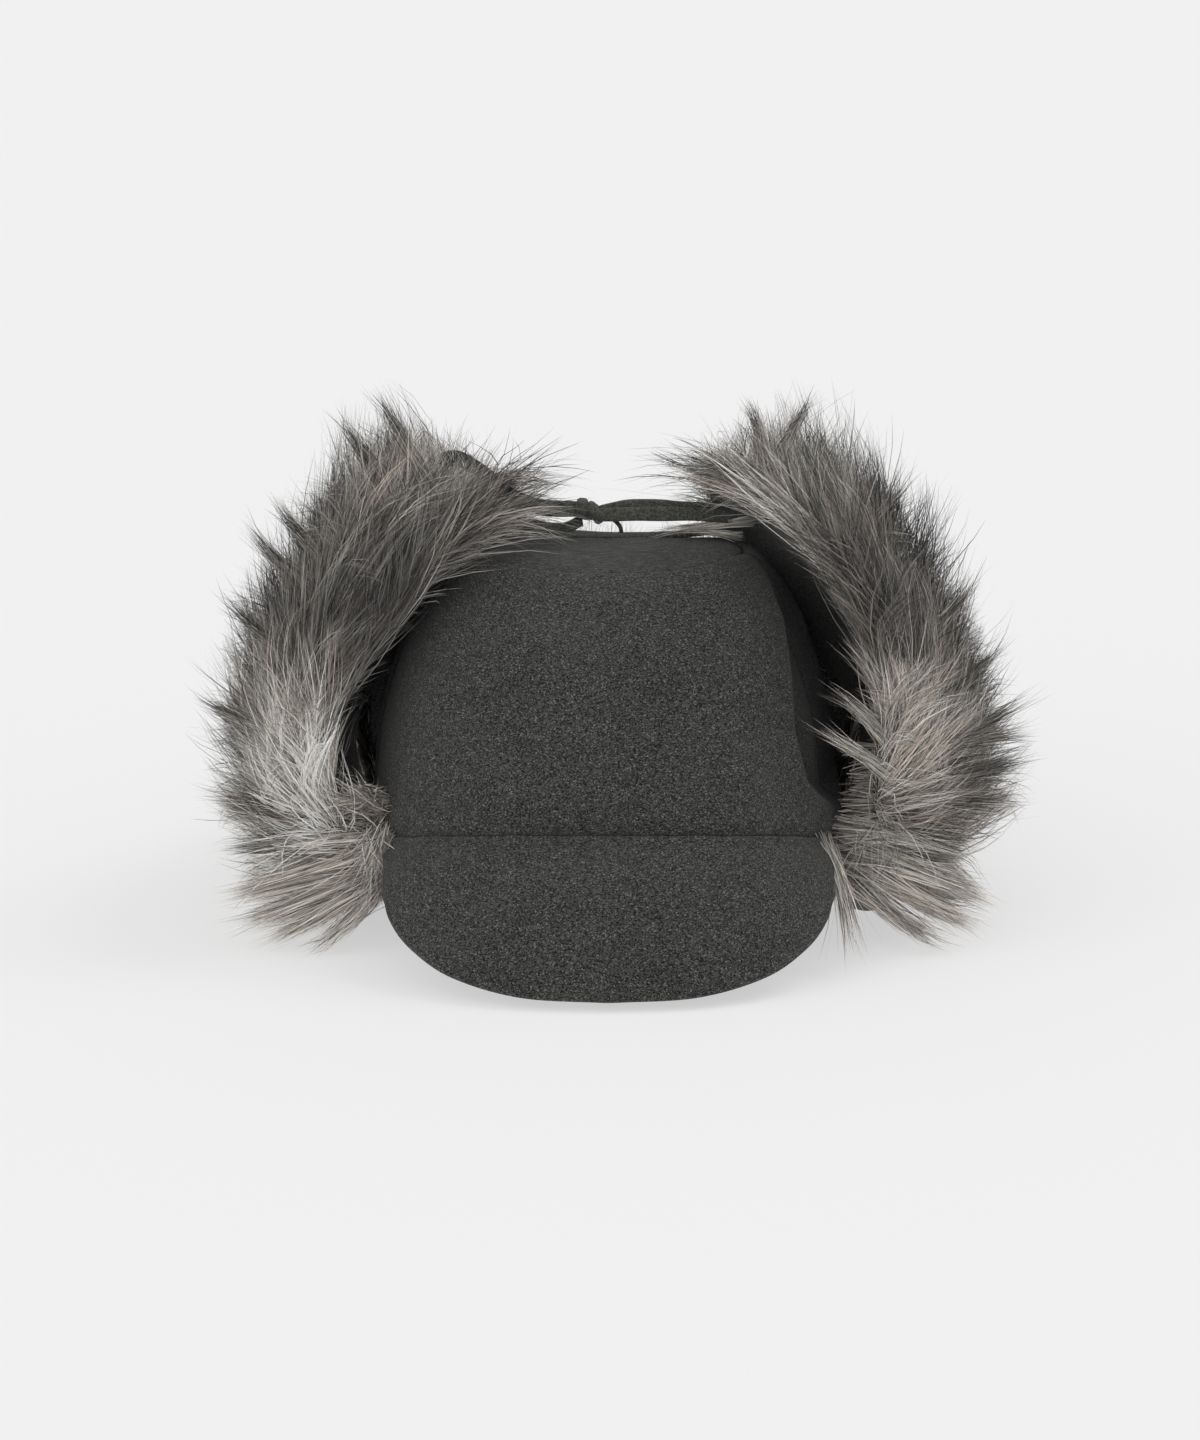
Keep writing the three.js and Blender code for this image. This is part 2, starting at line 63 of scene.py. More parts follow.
def linear(hexText):
    # an sRGB hex value as linear red, green, blue and a full alpha
    value = np.array([int(hexText[i:i + 2], 16) for i in (1, 3, 5)]) / 255
    value = np.where(value <= 0.04045, value / 12.92, ((value + 0.055) / 1.055) ** 2.4)
    return (*value.tolist(), 1.0)


def norm(vectors):
    return np.linalg.norm(vectors, axis=-1)


def unit(vectors):
    return vectors / np.maximum(norm(vectors)[..., None], 1e-9)


def smooth(low, high, value):
    # 0 below low, 1 above high, and 3t^2 - 2t^3 in between
    t = np.clip((value - low) / (high - low), 0, 1)
    return t * t * (3 - 2 * t)


def mix(a, b, share):
    return a + (b - a) * share


def span(share, last):
    # which span of a curve a share falls in, and how far into it
    at = np.clip(share, 0, 1) * last
    row = np.minimum(np.floor(at).astype(int), last - 1)
    return row, (at - row)[..., None]


def fourPoints(pick, row, last):
    # the span's two ends and their neighbours. Past an end of the curve its last step is repeated
    b, c = pick(row), pick(row + 1)
    a = np.where((row > 0)[..., None], pick(np.maximum(row - 1, 0)), 2 * b - c)
    d = np.where((row < last - 1)[..., None], pick(np.minimum(row + 2, last)), 2 * c - b)
    return a, b, c, d


def column(table, share):
    # every column of a table at a share of its length, on a Catmull-Rom curve through its rows
    last = len(table) - 1
    row, f = span(share, last)
    a, b, c, d = fourPoints(lambda i: table[i], row, last)
    return 0.5 * (2 * b + (c - a) * f + (2 * a - 5 * b + 4 * c - d) * f ** 2
                  + (3 * b - a - 3 * c + d) * f ** 3)


def alongPath(points, share):
    # a point at a share of a centripetal curve through points[0], points[1] and so on, where each
    # knot's spacing is the square root of the distance between its points
    last = len(points) - 1
    row, t = span(share, last)

    def pick(i):
        return np.take_along_axis(points, np.broadcast_to(i[None, ..., None], (1, *i.shape, 3)), 0)[0]
    a, b, c, d = fourPoints(pick, row, last)
    before, here, after = [np.maximum(np.sqrt(norm(q - p)[..., None]), 1e-4) for p, q in ((a, b), (b, c), (c, d))]
    startSlope = ((b - a) / before - (c - a) / (before + here) + (c - b) / here) * here
    endSlope = ((c - b) / here - (d - b) / (here + after) + (d - c) / after) * here
    square = -3 * b + 3 * c - 2 * startSlope - endSlope
    cube = 2 * b - 2 * c + startSlope + endSlope
    return b + startSlope * t + square * t ** 2 + cube * t ** 3


def ripple(point, size, seed):
    # a smooth field between about -1 and 1: a sum of sines over slanted directions, size in mm
    rng = np.random.default_rng(seed)
    total = 0
    for octave in (1.0, 1.7, 2.9):
        way = unit(rng.normal(size=(3, 3)))
        phase = rng.uniform(0, 6.28, 3)
        total = total + np.sin(point @ way.T * octave * 2 * np.pi / size + phase).sum(-1) / octave
    return total / 4


def ripples(point, table):
    # ripples added up, each a row of height, size and seed
    return sum(height * ripple(point, size, seed) for height, size, seed in table)


def meshFrom(name, points, faces, uv=None, colour=None, merge=0.0):
    # points in mm, faces as rows of three or four corners, uv in metres and colour per point
    mesh = bpy.data.meshes.new(name)
    flat = ((points + rowShift) / 1000).reshape(-1, 3)
    mesh.vertices.add(len(flat))
    mesh.vertices.foreach_set("co", flat.astype(np.float32).ravel())
    corners = faces.shape[1]
    mesh.loops.add(faces.size)
    mesh.loops.foreach_set("vertex_index", faces.astype(np.int32).ravel())
    mesh.polygons.add(len(faces))
    mesh.polygons.foreach_set("loop_start", np.arange(0, faces.size, corners, dtype=np.int32))
    mesh.polygons.foreach_set("use_smooth", np.ones(len(faces), dtype=bool))
    mesh.update(calc_edges=True)
    if uv is not None:
        layer = mesh.uv_layers.new(name="clothUv")
        layer.data.foreach_set("uv", uv.reshape(-1, 2)[faces.ravel()].astype(np.float32).ravel())
    if colour is not None:
        layer = mesh.color_attributes.new("hairColour", "FLOAT_COLOR", "POINT")
        full = np.concatenate([colour.reshape(-1, 3), np.ones((colour.size // 3, 1))], 1)
        layer.data.foreach_set("color", full.astype(np.float32).ravel())
    if merge:
        work = bmesh.new()
        work.from_mesh(mesh)
        bmesh.ops.remove_doubles(work, verts=work.verts, dist=merge)
        bmesh.ops.dissolve_degenerate(work, edges=work.edges, dist=1e-8)
        bmesh.ops.recalc_face_normals(work, faces=work.faces)
        work.to_mesh(mesh)
        work.free()
    mesh.validate()
    return mesh


def addPiece(name, mesh, material, node):
    # one piece of the model, which stands for a node of the solids
    piece = bpy.data.objects.new(name, mesh)
    bpy.context.scene.collection.objects.link(piece)
    mesh.materials.append(material)
    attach(piece, "root")
    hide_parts(node)
    return piece


def gridFaces(rows, columns, start=0):
    # the four-cornered faces of a grid of points, row by row
    corner = np.arange(rows * columns).reshape(rows, columns) + start
    return np.stack([corner[:-1, :-1], corner[:-1, 1:], corner[1:, 1:], corner[1:, :-1]], -1).reshape(-1, 4)


def gridNormals(points):
    return unit(np.cross(np.gradient(points, axis=1), np.gradient(points, axis=0)))


def arcLength(points, axis):
    # the way walked along the grid from its first line, in mm
    step = norm(np.diff(points, axis=axis))
    return np.concatenate([np.zeros_like(np.take(step, [0], axis)), np.cumsum(step, axis)], axis)


def edgeDistances(points, edges):
    # how far each point of a grid is from its first and last column, u and U, and row, v and V
    alongU, alongV = arcLength(points, 1), arcLength(points, 0)
    every = dict(u=alongU, U=alongU[:, -1:] - alongU, v=alongV, V=alongV[-1:] - alongV)
    return [every[edge] for edge in edges]


def shares(count, rim):
    # shares from 0 to 1 that crowd towards both ends, where an edge is rounded
    inner = np.linspace(rim, 1 - rim, count - 6)
    return np.concatenate([[0, rim * 0.12, rim * 0.4], inner, [1 - rim * 0.4, 1 - rim * 0.12, 1]])


def clothMesh(name, middle, thickness, rounding, openEdges):
    # a wall round a middle surface: both skins stand off it along its normals by half the
    # thickness, which falls to nothing at an open edge on a quarter circle of the rounding's size
    rows, columns = middle.shape[:2]
    far = np.full((rows, columns), 1e3)
    distance = np.minimum.reduce([far, *edgeDistances(middle, openEdges)])
    inside = 1 - np.clip(distance / rounding, 0, 1)
    stand = gridNormals(middle) * (thickness / 2 * np.sqrt(1 - inside ** 2))[..., None]
    points = np.concatenate([(middle + stand).reshape(-1, 3), (middle - stand).reshape(-1, 3)])
    outer, inner = gridFaces(rows, columns), gridFaces(rows, columns, rows * columns)
    alongU, alongV = arcLength(middle, 1), arcLength(middle, 0)
    uv = np.stack([alongU - alongU[:, columns // 2:columns // 2 + 1], alongV], -1).reshape(-1, 2) / 1000
    faces = np.concatenate([outer, inner[:, ::-1]])
    return meshFrom(name, points, faces, uv=np.concatenate([uv] * 2), merge=2e-6)


def addCloth(name, grid, values, material, node, openEdges="uUvV"):
    mesh = clothMesh(name, grid, values["wall"], values["rounding"], openEdges)
    return addPiece(name, mesh, material, node)


# Materials

def addNode(tree, kind, inputs=None, **settings):
    # one node with its settings, and with each input's value or the socket that feeds it
    node = tree.nodes.new("ShaderNode" + kind)
    for key, value in settings.items():
        setattr(node, key, value)
    for key, value in (inputs or {}).items():
        if isinstance(value, bpy.types.NodeSocket):
            tree.links.new(value, node.inputs[key])
        else:
            node.inputs[key].default_value = value
    return node


def newMaterial(name, build, *values, **settings):
    # a material whose surface is the shader that build makes in its node tree
    material = bpy.data.materials.new(name)
    material.use_nodes = True
    tree = material.node_tree
    tree.nodes.clear()
    shader = build(tree, *values, **settings)
    addNode(tree, "OutputMaterial", {"Surface": shader.outputs[0]})
    return material


# Brushed heather jersey: dyed and undyed fibres knitted together and raised on the face, so the
# eye sees matt charcoal with fine light and dark specks.
def heatherJersey(tree, dark, light, fleck, speckMm=0.36):
    flat = dict(noise_dimensions="2D")
    place = addNode(tree, "TexCoord").outputs["UV"]
    courses = addNode(tree, "Mapping", {"Vector": place, "Scale": (0.82, 1.0, 1.0)}).outputs["Vector"]
    specks = addNode(tree, "TexVoronoi", {"Vector": courses, "Scale": 1000 / speckMm}, voronoi_dimensions="2D")
    grey = addNode(tree, "SeparateColor", {"Color": specks.outputs["Color"]}).outputs["Red"]
    fibres = addNode(tree, "TexNoise", {"Vector": courses, "Scale": 1100 / speckMm, "Detail": 2.0,
                                        "Roughness": 0.6}, **flat).outputs["Fac"]
    cloudy = addNode(tree, "TexNoise", {"Vector": place, "Scale": 22.0, "Detail": 2.0}, **flat).outputs["Fac"]
    blend = addNode(tree, "Math", {0: grey, 1: 0.75}, operation="MULTIPLY").outputs[0]
    for pattern, weight in ((fibres, 0.7), (cloudy, 0.1)):
        blend = addNode(tree, "Math", {0: pattern, 1: weight, 2: blend}, operation="MULTIPLY_ADD").outputs[0]
    tone = addNode(tree, "MapRange", {"Value": blend, "From Min": 0.46, "From Max": 1.14}).outputs[0]
    rare = addNode(tree, "MapRange", {"Value": grey, "From Min": 0.93, "From Max": 0.97, "To Max": 0.35})
    colour = addNode(tree, "Mix", {0: tone, 6: linear(dark), 7: linear(light)}, data_type="RGBA").outputs[2]
    colour = addNode(tree, "Mix", {0: rare.outputs[0], 6: colour, 7: linear(fleck)}, data_type="RGBA").outputs[2]
    nap = addNode(tree, "Bump", {"Height": blend, "Strength": 0.4, "Distance": 0.0003}).outputs["Normal"]
    return addNode(tree, "BsdfPrincipled", {
        "Base Color": colour, "Roughness": 0.95, "Specular IOR Level": 0.2, "Normal": nap,
        "Sheen Weight": 0.1, "Sheen Roughness": 0.6})


# Long-pile modacrylic fur: soft taupe hair with darker ends, a little glossy along each hair.
def pileFur(tree):
    hair = addNode(tree, "Attribute", attribute_name="hairColour").outputs["Color"]
    return addNode(tree, "BsdfPrincipled", {
        "Base Color": hair, "Roughness": 0.62, "Specular IOR Level": 0.3,
        "Sheen Weight": 0.15, "Sheen Roughness": 0.5})


# The short dense underfur between the long hairs: the same fibre, darker because light sinks in.
def underFur(tree, dark, light):
    place = addNode(tree, "TexCoord").outputs["UV"]
    combed = addNode(tree, "Mapping", {"Vector": place, "Scale": (900.0, 70.0, 1.0)}).outputs["Vector"]
    strands = addNode(tree, "TexNoise", {"Vector": combed, "Scale": 1.0, "Detail": 4.0, "Distortion": 0.6},
                      noise_dimensions="2D").outputs["Fac"]
    tone = addNode(tree, "MapRange", {"Value": strands, "From Min": 0.35, "From Max": 0.68}).outputs[0]
    colour = addNode(tree, "Mix", {0: tone, 6: linear(dark), 7: linear(light)}, data_type="RGBA").outputs[2]
    relief = addNode(tree, "Bump", {"Height": strands, "Strength": 0.8, "Distance": 0.0015}).outputs["Normal"]
    return addNode(tree, "BsdfPrincipled", {
        "Base Color": colour, "Roughness": 0.85, "Specular IOR Level": 0.2, "Normal": relief})


# Painted studio floor: matt, nearly white, with a little light of its own.
def studioPaint(tree, tint):
    return addNode(tree, "BsdfPrincipled", {
        "Base Color": linear(tint), "Roughness": 1.0, "Specular IOR Level": 0.0,
        "Emission Color": linear("#ffffff"), "Emission Strength": 0.55})


crownJersey = newMaterial("brushedHeatherJersey", heatherJersey, "#030303", "#50504d", "#94938d")
flapJersey = newMaterial("brushedHeatherJerseyFlaps", heatherJersey, "#070707", "#565653", "#7c7b75")
tieJersey = newMaterial("foldedJerseyBinding", heatherJersey, "#31322d", "#565852", "#66685f", speckMm=0.4)
hairFibre = newMaterial("modacrylicPile", pileFur)
shortFibre = newMaterial("modacrylicUnderfur", underFur, "#2e2b28", "#6b655f")
print("materials made")


# Crown: rings stacked up the head, each a rounded rectangle whose corners follow a power
crownValues = dict(
    wall=2.0, rounding=1.4, seamGap=0.4, topSeamGap=1.1, hemHeight=8.5, peakCorner=70.0, sidePanelSeam=83.0,
    hemReached=84.0, topSeamLevel=0.75, seamHeightAtSide=28.5, seamRisePerDepth=0.285,
    seamDip=1.9, seamDipWidth=2.8, puckerEvery=11.0, gather=0.35, seamLap=0.4, lapBehind=-0.2, lapInFront=1.4,
    crowding=0.35, pressed=(0.9, 0.96), slack=((0.5, 70, 11), (0.2, 24, 12)), topSlack=0.4, topGather=0.3,
    topDip=0.75, topDipWidth=9, foldDepth=8.0, foldWidth=6.0, foldRise=(36, 54), foldBehind=(30, -10),
    # the line down the wearer's left where the front stands proud of the side: height and X
    foldLine=np.array([[40, 90], [54, 81], [66, 73], [86, 68], [106, 66.5], [122, 64], [137, 57]]),
    # height at the front, side and back, then half width, front reach, back reach and corner power
    rings=np.array([
        [8, 8, 8, 87, 96, 98, 2.6],
        [36, 36, 36, 88, 98, 100, 2.7],
        [57, 57, 56, 87.5, 96, 98, 2.5],
        [83, 83, 80, 84, 89, 92, 2.35],
        [111, 112, 105, 74.5, 75, 80, 2.35],
        [130, 131, 120, 62.5, 56, 65, 2.4],
        [140, 141, 130, 50.5, 38, 50, 2.5],
        [143, 143, 137, 29, 20, 28, 2.4],
        [144, 144, 144, 0, 0, 0, 2.4]]))


def crownPoint(azimuth, level):
    # X is the half width by the sine's power, Y the reach by the cosine's, and the height runs
    # through the front, side and back heights as the azimuth turns
    zFront, zSide, zBack, halfWidth, front, back, square = np.moveaxis(column(crownValues["rings"], level), -1, 0)
    c, s = np.cos(np.radians(azimuth)), np.sin(np.radians(azimuth))
    power = 2 / square
    x = halfWidth * np.sign(s) * np.abs(s) ** power
    y = -np.where(c > 0, front, back) * np.sign(c) * np.abs(c) ** power
    z = zSide + (zFront - zBack) / 2 * c + ((zFront + zBack) / 2 - zSide) * c * c
    return np.stack([x, y, z], -1)


def lowerEdgeHeight(azimuth):
    # the peak's seam in front, then a smooth fall to the hem past the peak's corners
    v = crownValues
    away = np.abs((azimuth + 180) % 360 - 180)
    depth = -crownPoint(np.minimum(away, v["peakCorner"]), np.full_like(away, 0.25))[..., 1]
    seam = v["seamHeightAtSide"] + v["seamRisePerDepth"] * depth
    return mix(seam, v["hemHeight"], smooth(v["peakCorner"], v["hemReached"], away))


def levelAtHeight(azimuth, height):
    # the level whose ring passes at a height, found by halving between the hem and the top seam
    low, high = np.zeros_like(azimuth), np.full_like(azimuth, crownValues["topSeamLevel"])
    for halving in range(24):
        middle = (low + high) / 2
        below = crownPoint(azimuth, middle)[..., 2] < height
        low, high = np.where(below, middle, low), np.where(below, high, middle)
    return low


def lowerEdge(azimuth):
    return crownPoint(azimuth, levelAtHeight(azimuth, lowerEdgeHeight(azimuth)))


def outwardAt(azimuth):
    # level and square to the crown's outline low down
    level = np.full_like(azimuth, 0.1)
    along = crownPoint(azimuth + 1, level) - crownPoint(azimuth - 1, level)
    return unit(np.stack([along[..., 1], -along[..., 0], np.zeros_like(azimuth)], -1))


def pastSeam(azimuth, level, way):
    # the two edges of a seam lie over each other by the lap, down in its valley
    speed = norm(crownPoint(azimuth + 0.5, level) - crownPoint(azimuth - 0.5, level))
    return azimuth - way * crownValues["seamLap"] / 2 / speed


def levelPastTopSeam(azimuth, way):
    # the top seam's level, moved over it by way times the gap
    top, step = np.full_like(azimuth, crownValues["topSeamLevel"]), 0.01
    speed = norm(crownPoint(azimuth, top + step) - crownPoint(azimuth, top - step))
    return crownValues["topSeamLevel"] + way * crownValues["topSeamGap"] * step / speed


def inFront(azimuth):
    # 1 within 60 degrees of the front and 0 from 95
    return smooth(95, 60, np.abs((azimuth + 180) % 360 - 180))


def seamShape(points, edges, depth, width, every, seed):
    # cloth sewn at an edge dives by depth within width of it, on a bell curve, and the thread
    # gathers it more and less along the seam
    normal = gridNormals(points)
    gather = 1 + crownValues["gather"] * ripple(points, every, seed)
    dive = np.maximum.reduce([np.exp(-(value / width) ** 2) for value in edgeDistances(points, edges)])
    return points - normal * (depth * dive * gather)[..., None], normal


# Soft places in the crown: each a shallow dent or swell with its middle, reach and height in mm
crownDents = np.array([
    # x, y, z, reach across, reach up, height, slant in degrees
    [-58, -82, 62, 26, 3.2, -1.8, -8],
    [-46, -88, 55, 30, 3.0, 1.2, -10],
    [62, -74, 72, 9, 26, -1.6, 12],
    [50, -84, 66, 8, 26, 1.2, 10],
    [-18, -95, 74, 40, 14, 1.0, 4],
    [28, -92, 92, 26, 16, -1.2, -6],
    [-30, -70, 118, 30, 8, 1.0, 5],
    [20, -64, 126, 34, 6, -0.9, -4]])


def dentedBy(points, normal, table, depth=45):
    # each row adds its height times a bell curve in its own slanted frame on the front
    total = 0
    for x, y, z, across, upward, height, slant in table:
        dx, dz = points[..., 0] - x, points[..., 2] - z
        c, s = np.cos(radians(slant)), np.sin(radians(slant))
        a, b = dx * c + dz * s, -dx * s + dz * c
        near = np.exp(-((points[..., 1] - y) / depth) ** 2)
        total = total + height * near * np.exp(-(a / across) ** 2 - (b / upward) ** 2)
    return points + normal * total[..., None]


def crownPanel(start, end, columns, rows):
    # the rings between two azimuths, from the lower edge to the top seam, with seams that dive,
    # slack, the fold beyond its line, and the dents, each added along the normal
    v = crownValues
    share = np.linspace(0, 1, columns)
    share = mix(share, smooth(0, 1, share), v["crowding"])
    azimuth, height = np.meshgrid(mix(start, end, share), shares(rows, 0.02))
    lapped = mix(v["lapBehind"], v["lapInFront"], inFront(azimuth))
    level = mix(levelAtHeight(azimuth, lowerEdgeHeight(azimuth)), levelPastTopSeam(azimuth, lapped), height)
    first, last = pastSeam(start + 0 * level, level, 1), pastSeam(end + 0 * level, level, -1)
    flush = crownPoint(mix(first, last, (azimuth - start) / (end - start)), level)
    points, normal = seamShape(flush, "uUvV", v["seamDip"], v["seamDipWidth"], v["puckerEvery"], 5)
    points = mix(points, flush, (smooth(*v["pressed"], height) * inFront(azimuth))[..., None])
    inner = np.minimum(height, 1 - height) * 2
    points = points + normal * (ripples(points, v["slack"]) * smooth(0, 0.4, inner))[..., None]
    past = points[..., 0] - np.interp(points[..., 2], v["foldLine"][:, 0], v["foldLine"][:, 1])
    sunk = smooth(0, v["foldWidth"], past) * smooth(*v["foldRise"], points[..., 2])
    sunk = sunk * smooth(*v["foldBehind"], points[..., 1])
    points = points - normal * (v["foldDepth"] * sunk * smooth(0, 0.25, inner))[..., None]
    return dentedBy(points, normal, crownDents)


def crownTopPanel(columns, rows):
    # the rings from the top seam to the middle, let down at the seam and a little in between
    v = crownValues
    azimuth, height = np.meshgrid(np.linspace(0, 360, columns), np.linspace(0, 1, rows))
    front = inFront(azimuth)
    # in front the front panel laps over this one
    points = crownPoint(azimuth, mix(levelPastTopSeam(azimuth, -1.2 * front), 1.0, height))
    walked = arcLength(points, 0)
    edge = np.exp(-(walked / v["seamDipWidth"]) ** 2) * (1 - front)
    sag = v["seamDip"] * edge * (1 + v["topGather"] * ripple(points, 12, 8))
    sag = sag + v["topSlack"] * ripple(points, 45, 9) * (1 - edge)
    points[..., 2] -= sag * (1 - front) + v["topDip"] * front * np.exp(-(walked / v["topDipWidth"]) ** 2)
    return points


side = crownValues["sidePanelSeam"]
for name, node, grid, edges in (
        ("crownFrontCloth", "crown_front", crownPanel(-side, side, 150, 78), "uUvV"),
        ("crownLeftCloth", "crown_left", crownPanel(side, 180.0, 80, 72), "uUvV"),
        ("crownRightCloth", "crown_right", crownPanel(-180.0, -side, 80, 72), "uUvV"),
        ("crownTopCloth", "crown_top", crownTopPanel(109, 30), "v")):
    addCloth(name, grid, crownValues, crownJersey, node, edges)
print("crown made")


# Peak: from the seam to its free edge, crowned in between and stuffed thin
peakValues = dict(
    wall=3.0, rounding=2.2, crowning=7.0, crowningAtSide=0.4, crowningWay=(0, -0.55, 0.8), belowCrown=0.9,
    proudOfCrown=-0.9, cornerInset=1.5, seamDip=1.3, seamDipWidth=2.4, puckerEvery=13.0, slack=0.35,
    # X, Y and Z along the free edge, from the middle to the corner
    edge=np.array([[0, -132, 3.4], [32, -128.5, 4.3], [57, -118, 8.6], [72, -105.5, 15.3], [80, -94, 22.6],
                   [83.5, -84, 31]]))
peakDents = np.array([
    [-48, -100, 34, 34, 4.0, 0.5, -6],
    [10, -118, 28, 55, 7.0, 0.4, 2],
    [52, -105, 36, 18, 7.0, -0.5, 8],
    [-64, -96, 30, 12, 9.0, -0.5, 0]])


def peakGrid(columns, rows):
    # the seam's line carried straight to the edge's line, lifted by a half sine in between
    v = peakValues
    across, outward = np.meshgrid(2 * shares(columns, 0.015) - 1, shares(rows, 0.03))
    azimuth = (crownValues["peakCorner"] - v["cornerInset"]) * across
    seam = lowerEdge(azimuth) + outwardAt(azimuth) * v["proudOfCrown"] - np.array([0, 0, v["belowCrown"]])
    edge = column(v["edge"], np.abs(across))
    edge[..., 0] *= np.sign(across)
    lift = v["crowning"] * np.sin(np.pi * outward) * mix(1, v["crowningAtSide"], across ** 2)
    points = mix(seam, edge, outward[..., None]) + lift[..., None] * np.array(v["crowningWay"])
    points, normal = seamShape(points, "v", v["seamDip"], v["seamDipWidth"], v["puckerEvery"], 21)
    soft = v["slack"] * ripple(points, 60, 23) * np.sin(np.pi * outward)
    return dentedBy(points + normal * soft[..., None], normal, peakDents)


addCloth("peakCloth", peakGrid(120, 62), peakValues, crownJersey, "peak")
print("peak made")


# Turned-up cloth: ribs that leave the hem, run along the floor and climb past a belly and a
# shoulder to the free edge
foldValues = dict(wall=2.0, rounding=1.2, foldStart=0.25, foldEnd=0.85, freeFrom=(0.4, 0.55),
                  slack=((0.7, 48, 31), (0.3, 19, 32)), areaShare=0.97)
# fold height and reach, then the belly, shoulder and tip as X, Y, Z, a row for each rib
flapLeftRibs = np.array([
    [35, 9, 100, -47, 78, 95, -38, 122, 54, -9, 165],
    [-2, 17, 110, -16, 76, 90, -13, 126, 40, 1, 164],
    [-2, 19, 113, 20, 74, 80, 20, 123, 38, 22, 161.5],
    [-2, 19, 98, 64, 56, 68, 71, 97, 43, 50, 134]])
flapRightRibs = np.array([
    [35, 9, 103, -48, 74, 89, -38, 110, 48, -9, 154],
    [-2, 17, 110, -16, 74, 90, -13, 120, 40, 1, 156.5],
    [-2, 19, 111, 20, 72, 82, 20, 119, 38, 22, 155.5],
    [-2, 19, 98, 64, 56, 68, 71, 96, 42, 50, 133]])
neckRibs = np.array([
    [-2, 19, 93, 78, 42, 94, 77, 60, 90, 75, 79],
    [-2, 19, 48, 117, 42, 49, 118, 61, 46, 116, 80],
    [-2, 19, 0, 123, 42, 0, 124, 61, 0, 122, 80],
    [-2, 19, -48, 117, 42, -49, 118, 61, -46, 116, 80],
    [-2, 19, -93, 78, 42, -94, 77, 60, -90, 75, 79]], dtype=float)
foldedPieces = [
    dict(cloth="flapLeftCloth", node="flap_left", ribs=flapLeftRibs, mirror=1, span=(72.0, 134.0)),
    dict(cloth="flapRightCloth", node="flap_right", ribs=flapRightRibs, mirror=-1, span=(72.0, 134.0)),
    dict(cloth="neckFlapCloth", node="neck_flap", ribs=neckRibs, mirror=1, span=(136.0, 224.0))]


def foldedCloth(folded, u, v):
    # the rib at u is a smooth curve through six points, and v is the share of it walked
    azimuth = mix(folded["span"][0], folded["span"][1], u) * folded["mirror"]
    outward = outwardAt(azimuth)
    hem = lowerEdge(azimuth) + outward * (foldValues["wall"] + crownValues["seamGap"])
    row = column(folded["ribs"], u)
    mirror = np.array([folded["mirror"], 1, 1])

    def onFold(share):
        point = hem + outward * (share * row[..., 1:2])
        point[..., 2] = row[..., 0]
        return point
    climbing = [row[..., i:i + 3] * mirror for i in (2, 5, 8)]
    rib = np.stack([hem, onFold(foldValues["foldStart"]), onFold(foldValues["foldEnd"]), *climbing])
    point = alongPath(rib, v)
    point[..., 2] = np.maximum(point[..., 2], foldValues["wall"] / 2)
    return point


def foldedGrid(folded, columns, rows):
    # the folded cloth with slack added along its normal where it hangs free
    u, v = np.meshgrid(shares(columns, 0.02), shares(rows, 0.01))
    points = foldedCloth(folded, u, v)
    waves = ripples(points, foldValues["slack"]) * smooth(*foldValues["freeFrom"], v)
    return points + gridNormals(points) * waves[..., None]


for folded in foldedPieces:
    name, grid = folded["cloth"], foldedGrid(folded, 72, 112)
    piece = addCloth(name, grid, foldValues, flapJersey, folded["node"])
    # the cut size is what is walked over the grid, at its widest and longest
    across, length = arcLength(grid, 1)[:, -1] / 1000, float(arcLength(grid, 0)[-1].max()) / 1000
    flat = (round(float(across.max()), 3), round(length, 3))
    area = round(float(across.mean()) * length * foldValues["areaShare"], 4)
    print(name, "cut", *flat)


# Fur: a body of packed underfur over the cloth, and hairs that grow out of it as thin tapering
# ribbons. Hairs stand in tufts that close towards their tips, and slow swirls turn whole locks
furValues = dict(
    firstHeight=0.44, floor=0.4, fieldSize=141,
    # the body: how far it stands off and juts out, and its lumps as height and size
    bodyRise=12.0, bodyRim=5.0, bodySquare=3.2, endRise=0.45, leastRise=1.2, bodyFloor=3.0,
    lumps=((0.2, 34), (0.1, 13)), wall=3.0, rounding=1.5,
    # the way of the hair: slow and quick swirls, calmer at the front edge, and its bend
    swirl=0.5, swirlSize=46.0, curl=0.36, curlSize=19.0, frontWay=(0.45, 0.95), calm=0.5,
    calmFront=(0.5, 0.95), calmHeight=(0.58, 0.66), leastLift=0.1, sweep=0.42, sweepSize=30.0,
    tuftSweep=0.08, hairSweep=0.05, settle=0.16, upward=0.04, stationPower=0.85,
    # roots, lengths and how a tuft closes
    frontRoots=(0.35, 0.1), tuftLengths=(0.45, 1.35), hairLengths=(0.4, 1.4), hairSpread=0.16,
    pull=(0.55, 1.25), mostPull=0.96, pullPower=0.8, waveTurns=(2.0, 5.0), withinSpread=3,
    # the hollow beside the crown, across and up the cloth, where painted shade darkens hairs and gives more of
    # them dark tips
    innerFront=(0.55, 0.95), innerHeight=(0.55, 0.68), innerShadeTips=0.5,
    # trimming: the least that is left of a hair, and where tips count as near the outline
    leastKept=0.12, mostOverLimits=4, rimSpan=(0.48, 0.94), rimFront=0.4, edgeNear=(-12, -1), edgeHeight=(20, 60),
    widths=(0.3, (0.4, 1.8)), taperPower=2.4)
toneValues = dict(
    light="#f0ebe3", middle="#bdb7af", warm="#dbc9bd", dark="#514e4a", tip="#0e0e0d",
    pale=(0.2, 0.85), warmShare=0.22, warmth=(0.3, 1), darkness=(0.5, 1), hairSpread=0.18, tuftSpread=0.15,
    limits=(0.45, 1.5), darkClusters=0.28, clusterTips=(0.8, 1.8), otherTips=(0.2, 1.0), tipDepth=(0.75, 1),
    tipEarlier=0.14, tipJitter=0.12, tipFade=0.2, rootTone=0.36, rootFade=0.4)
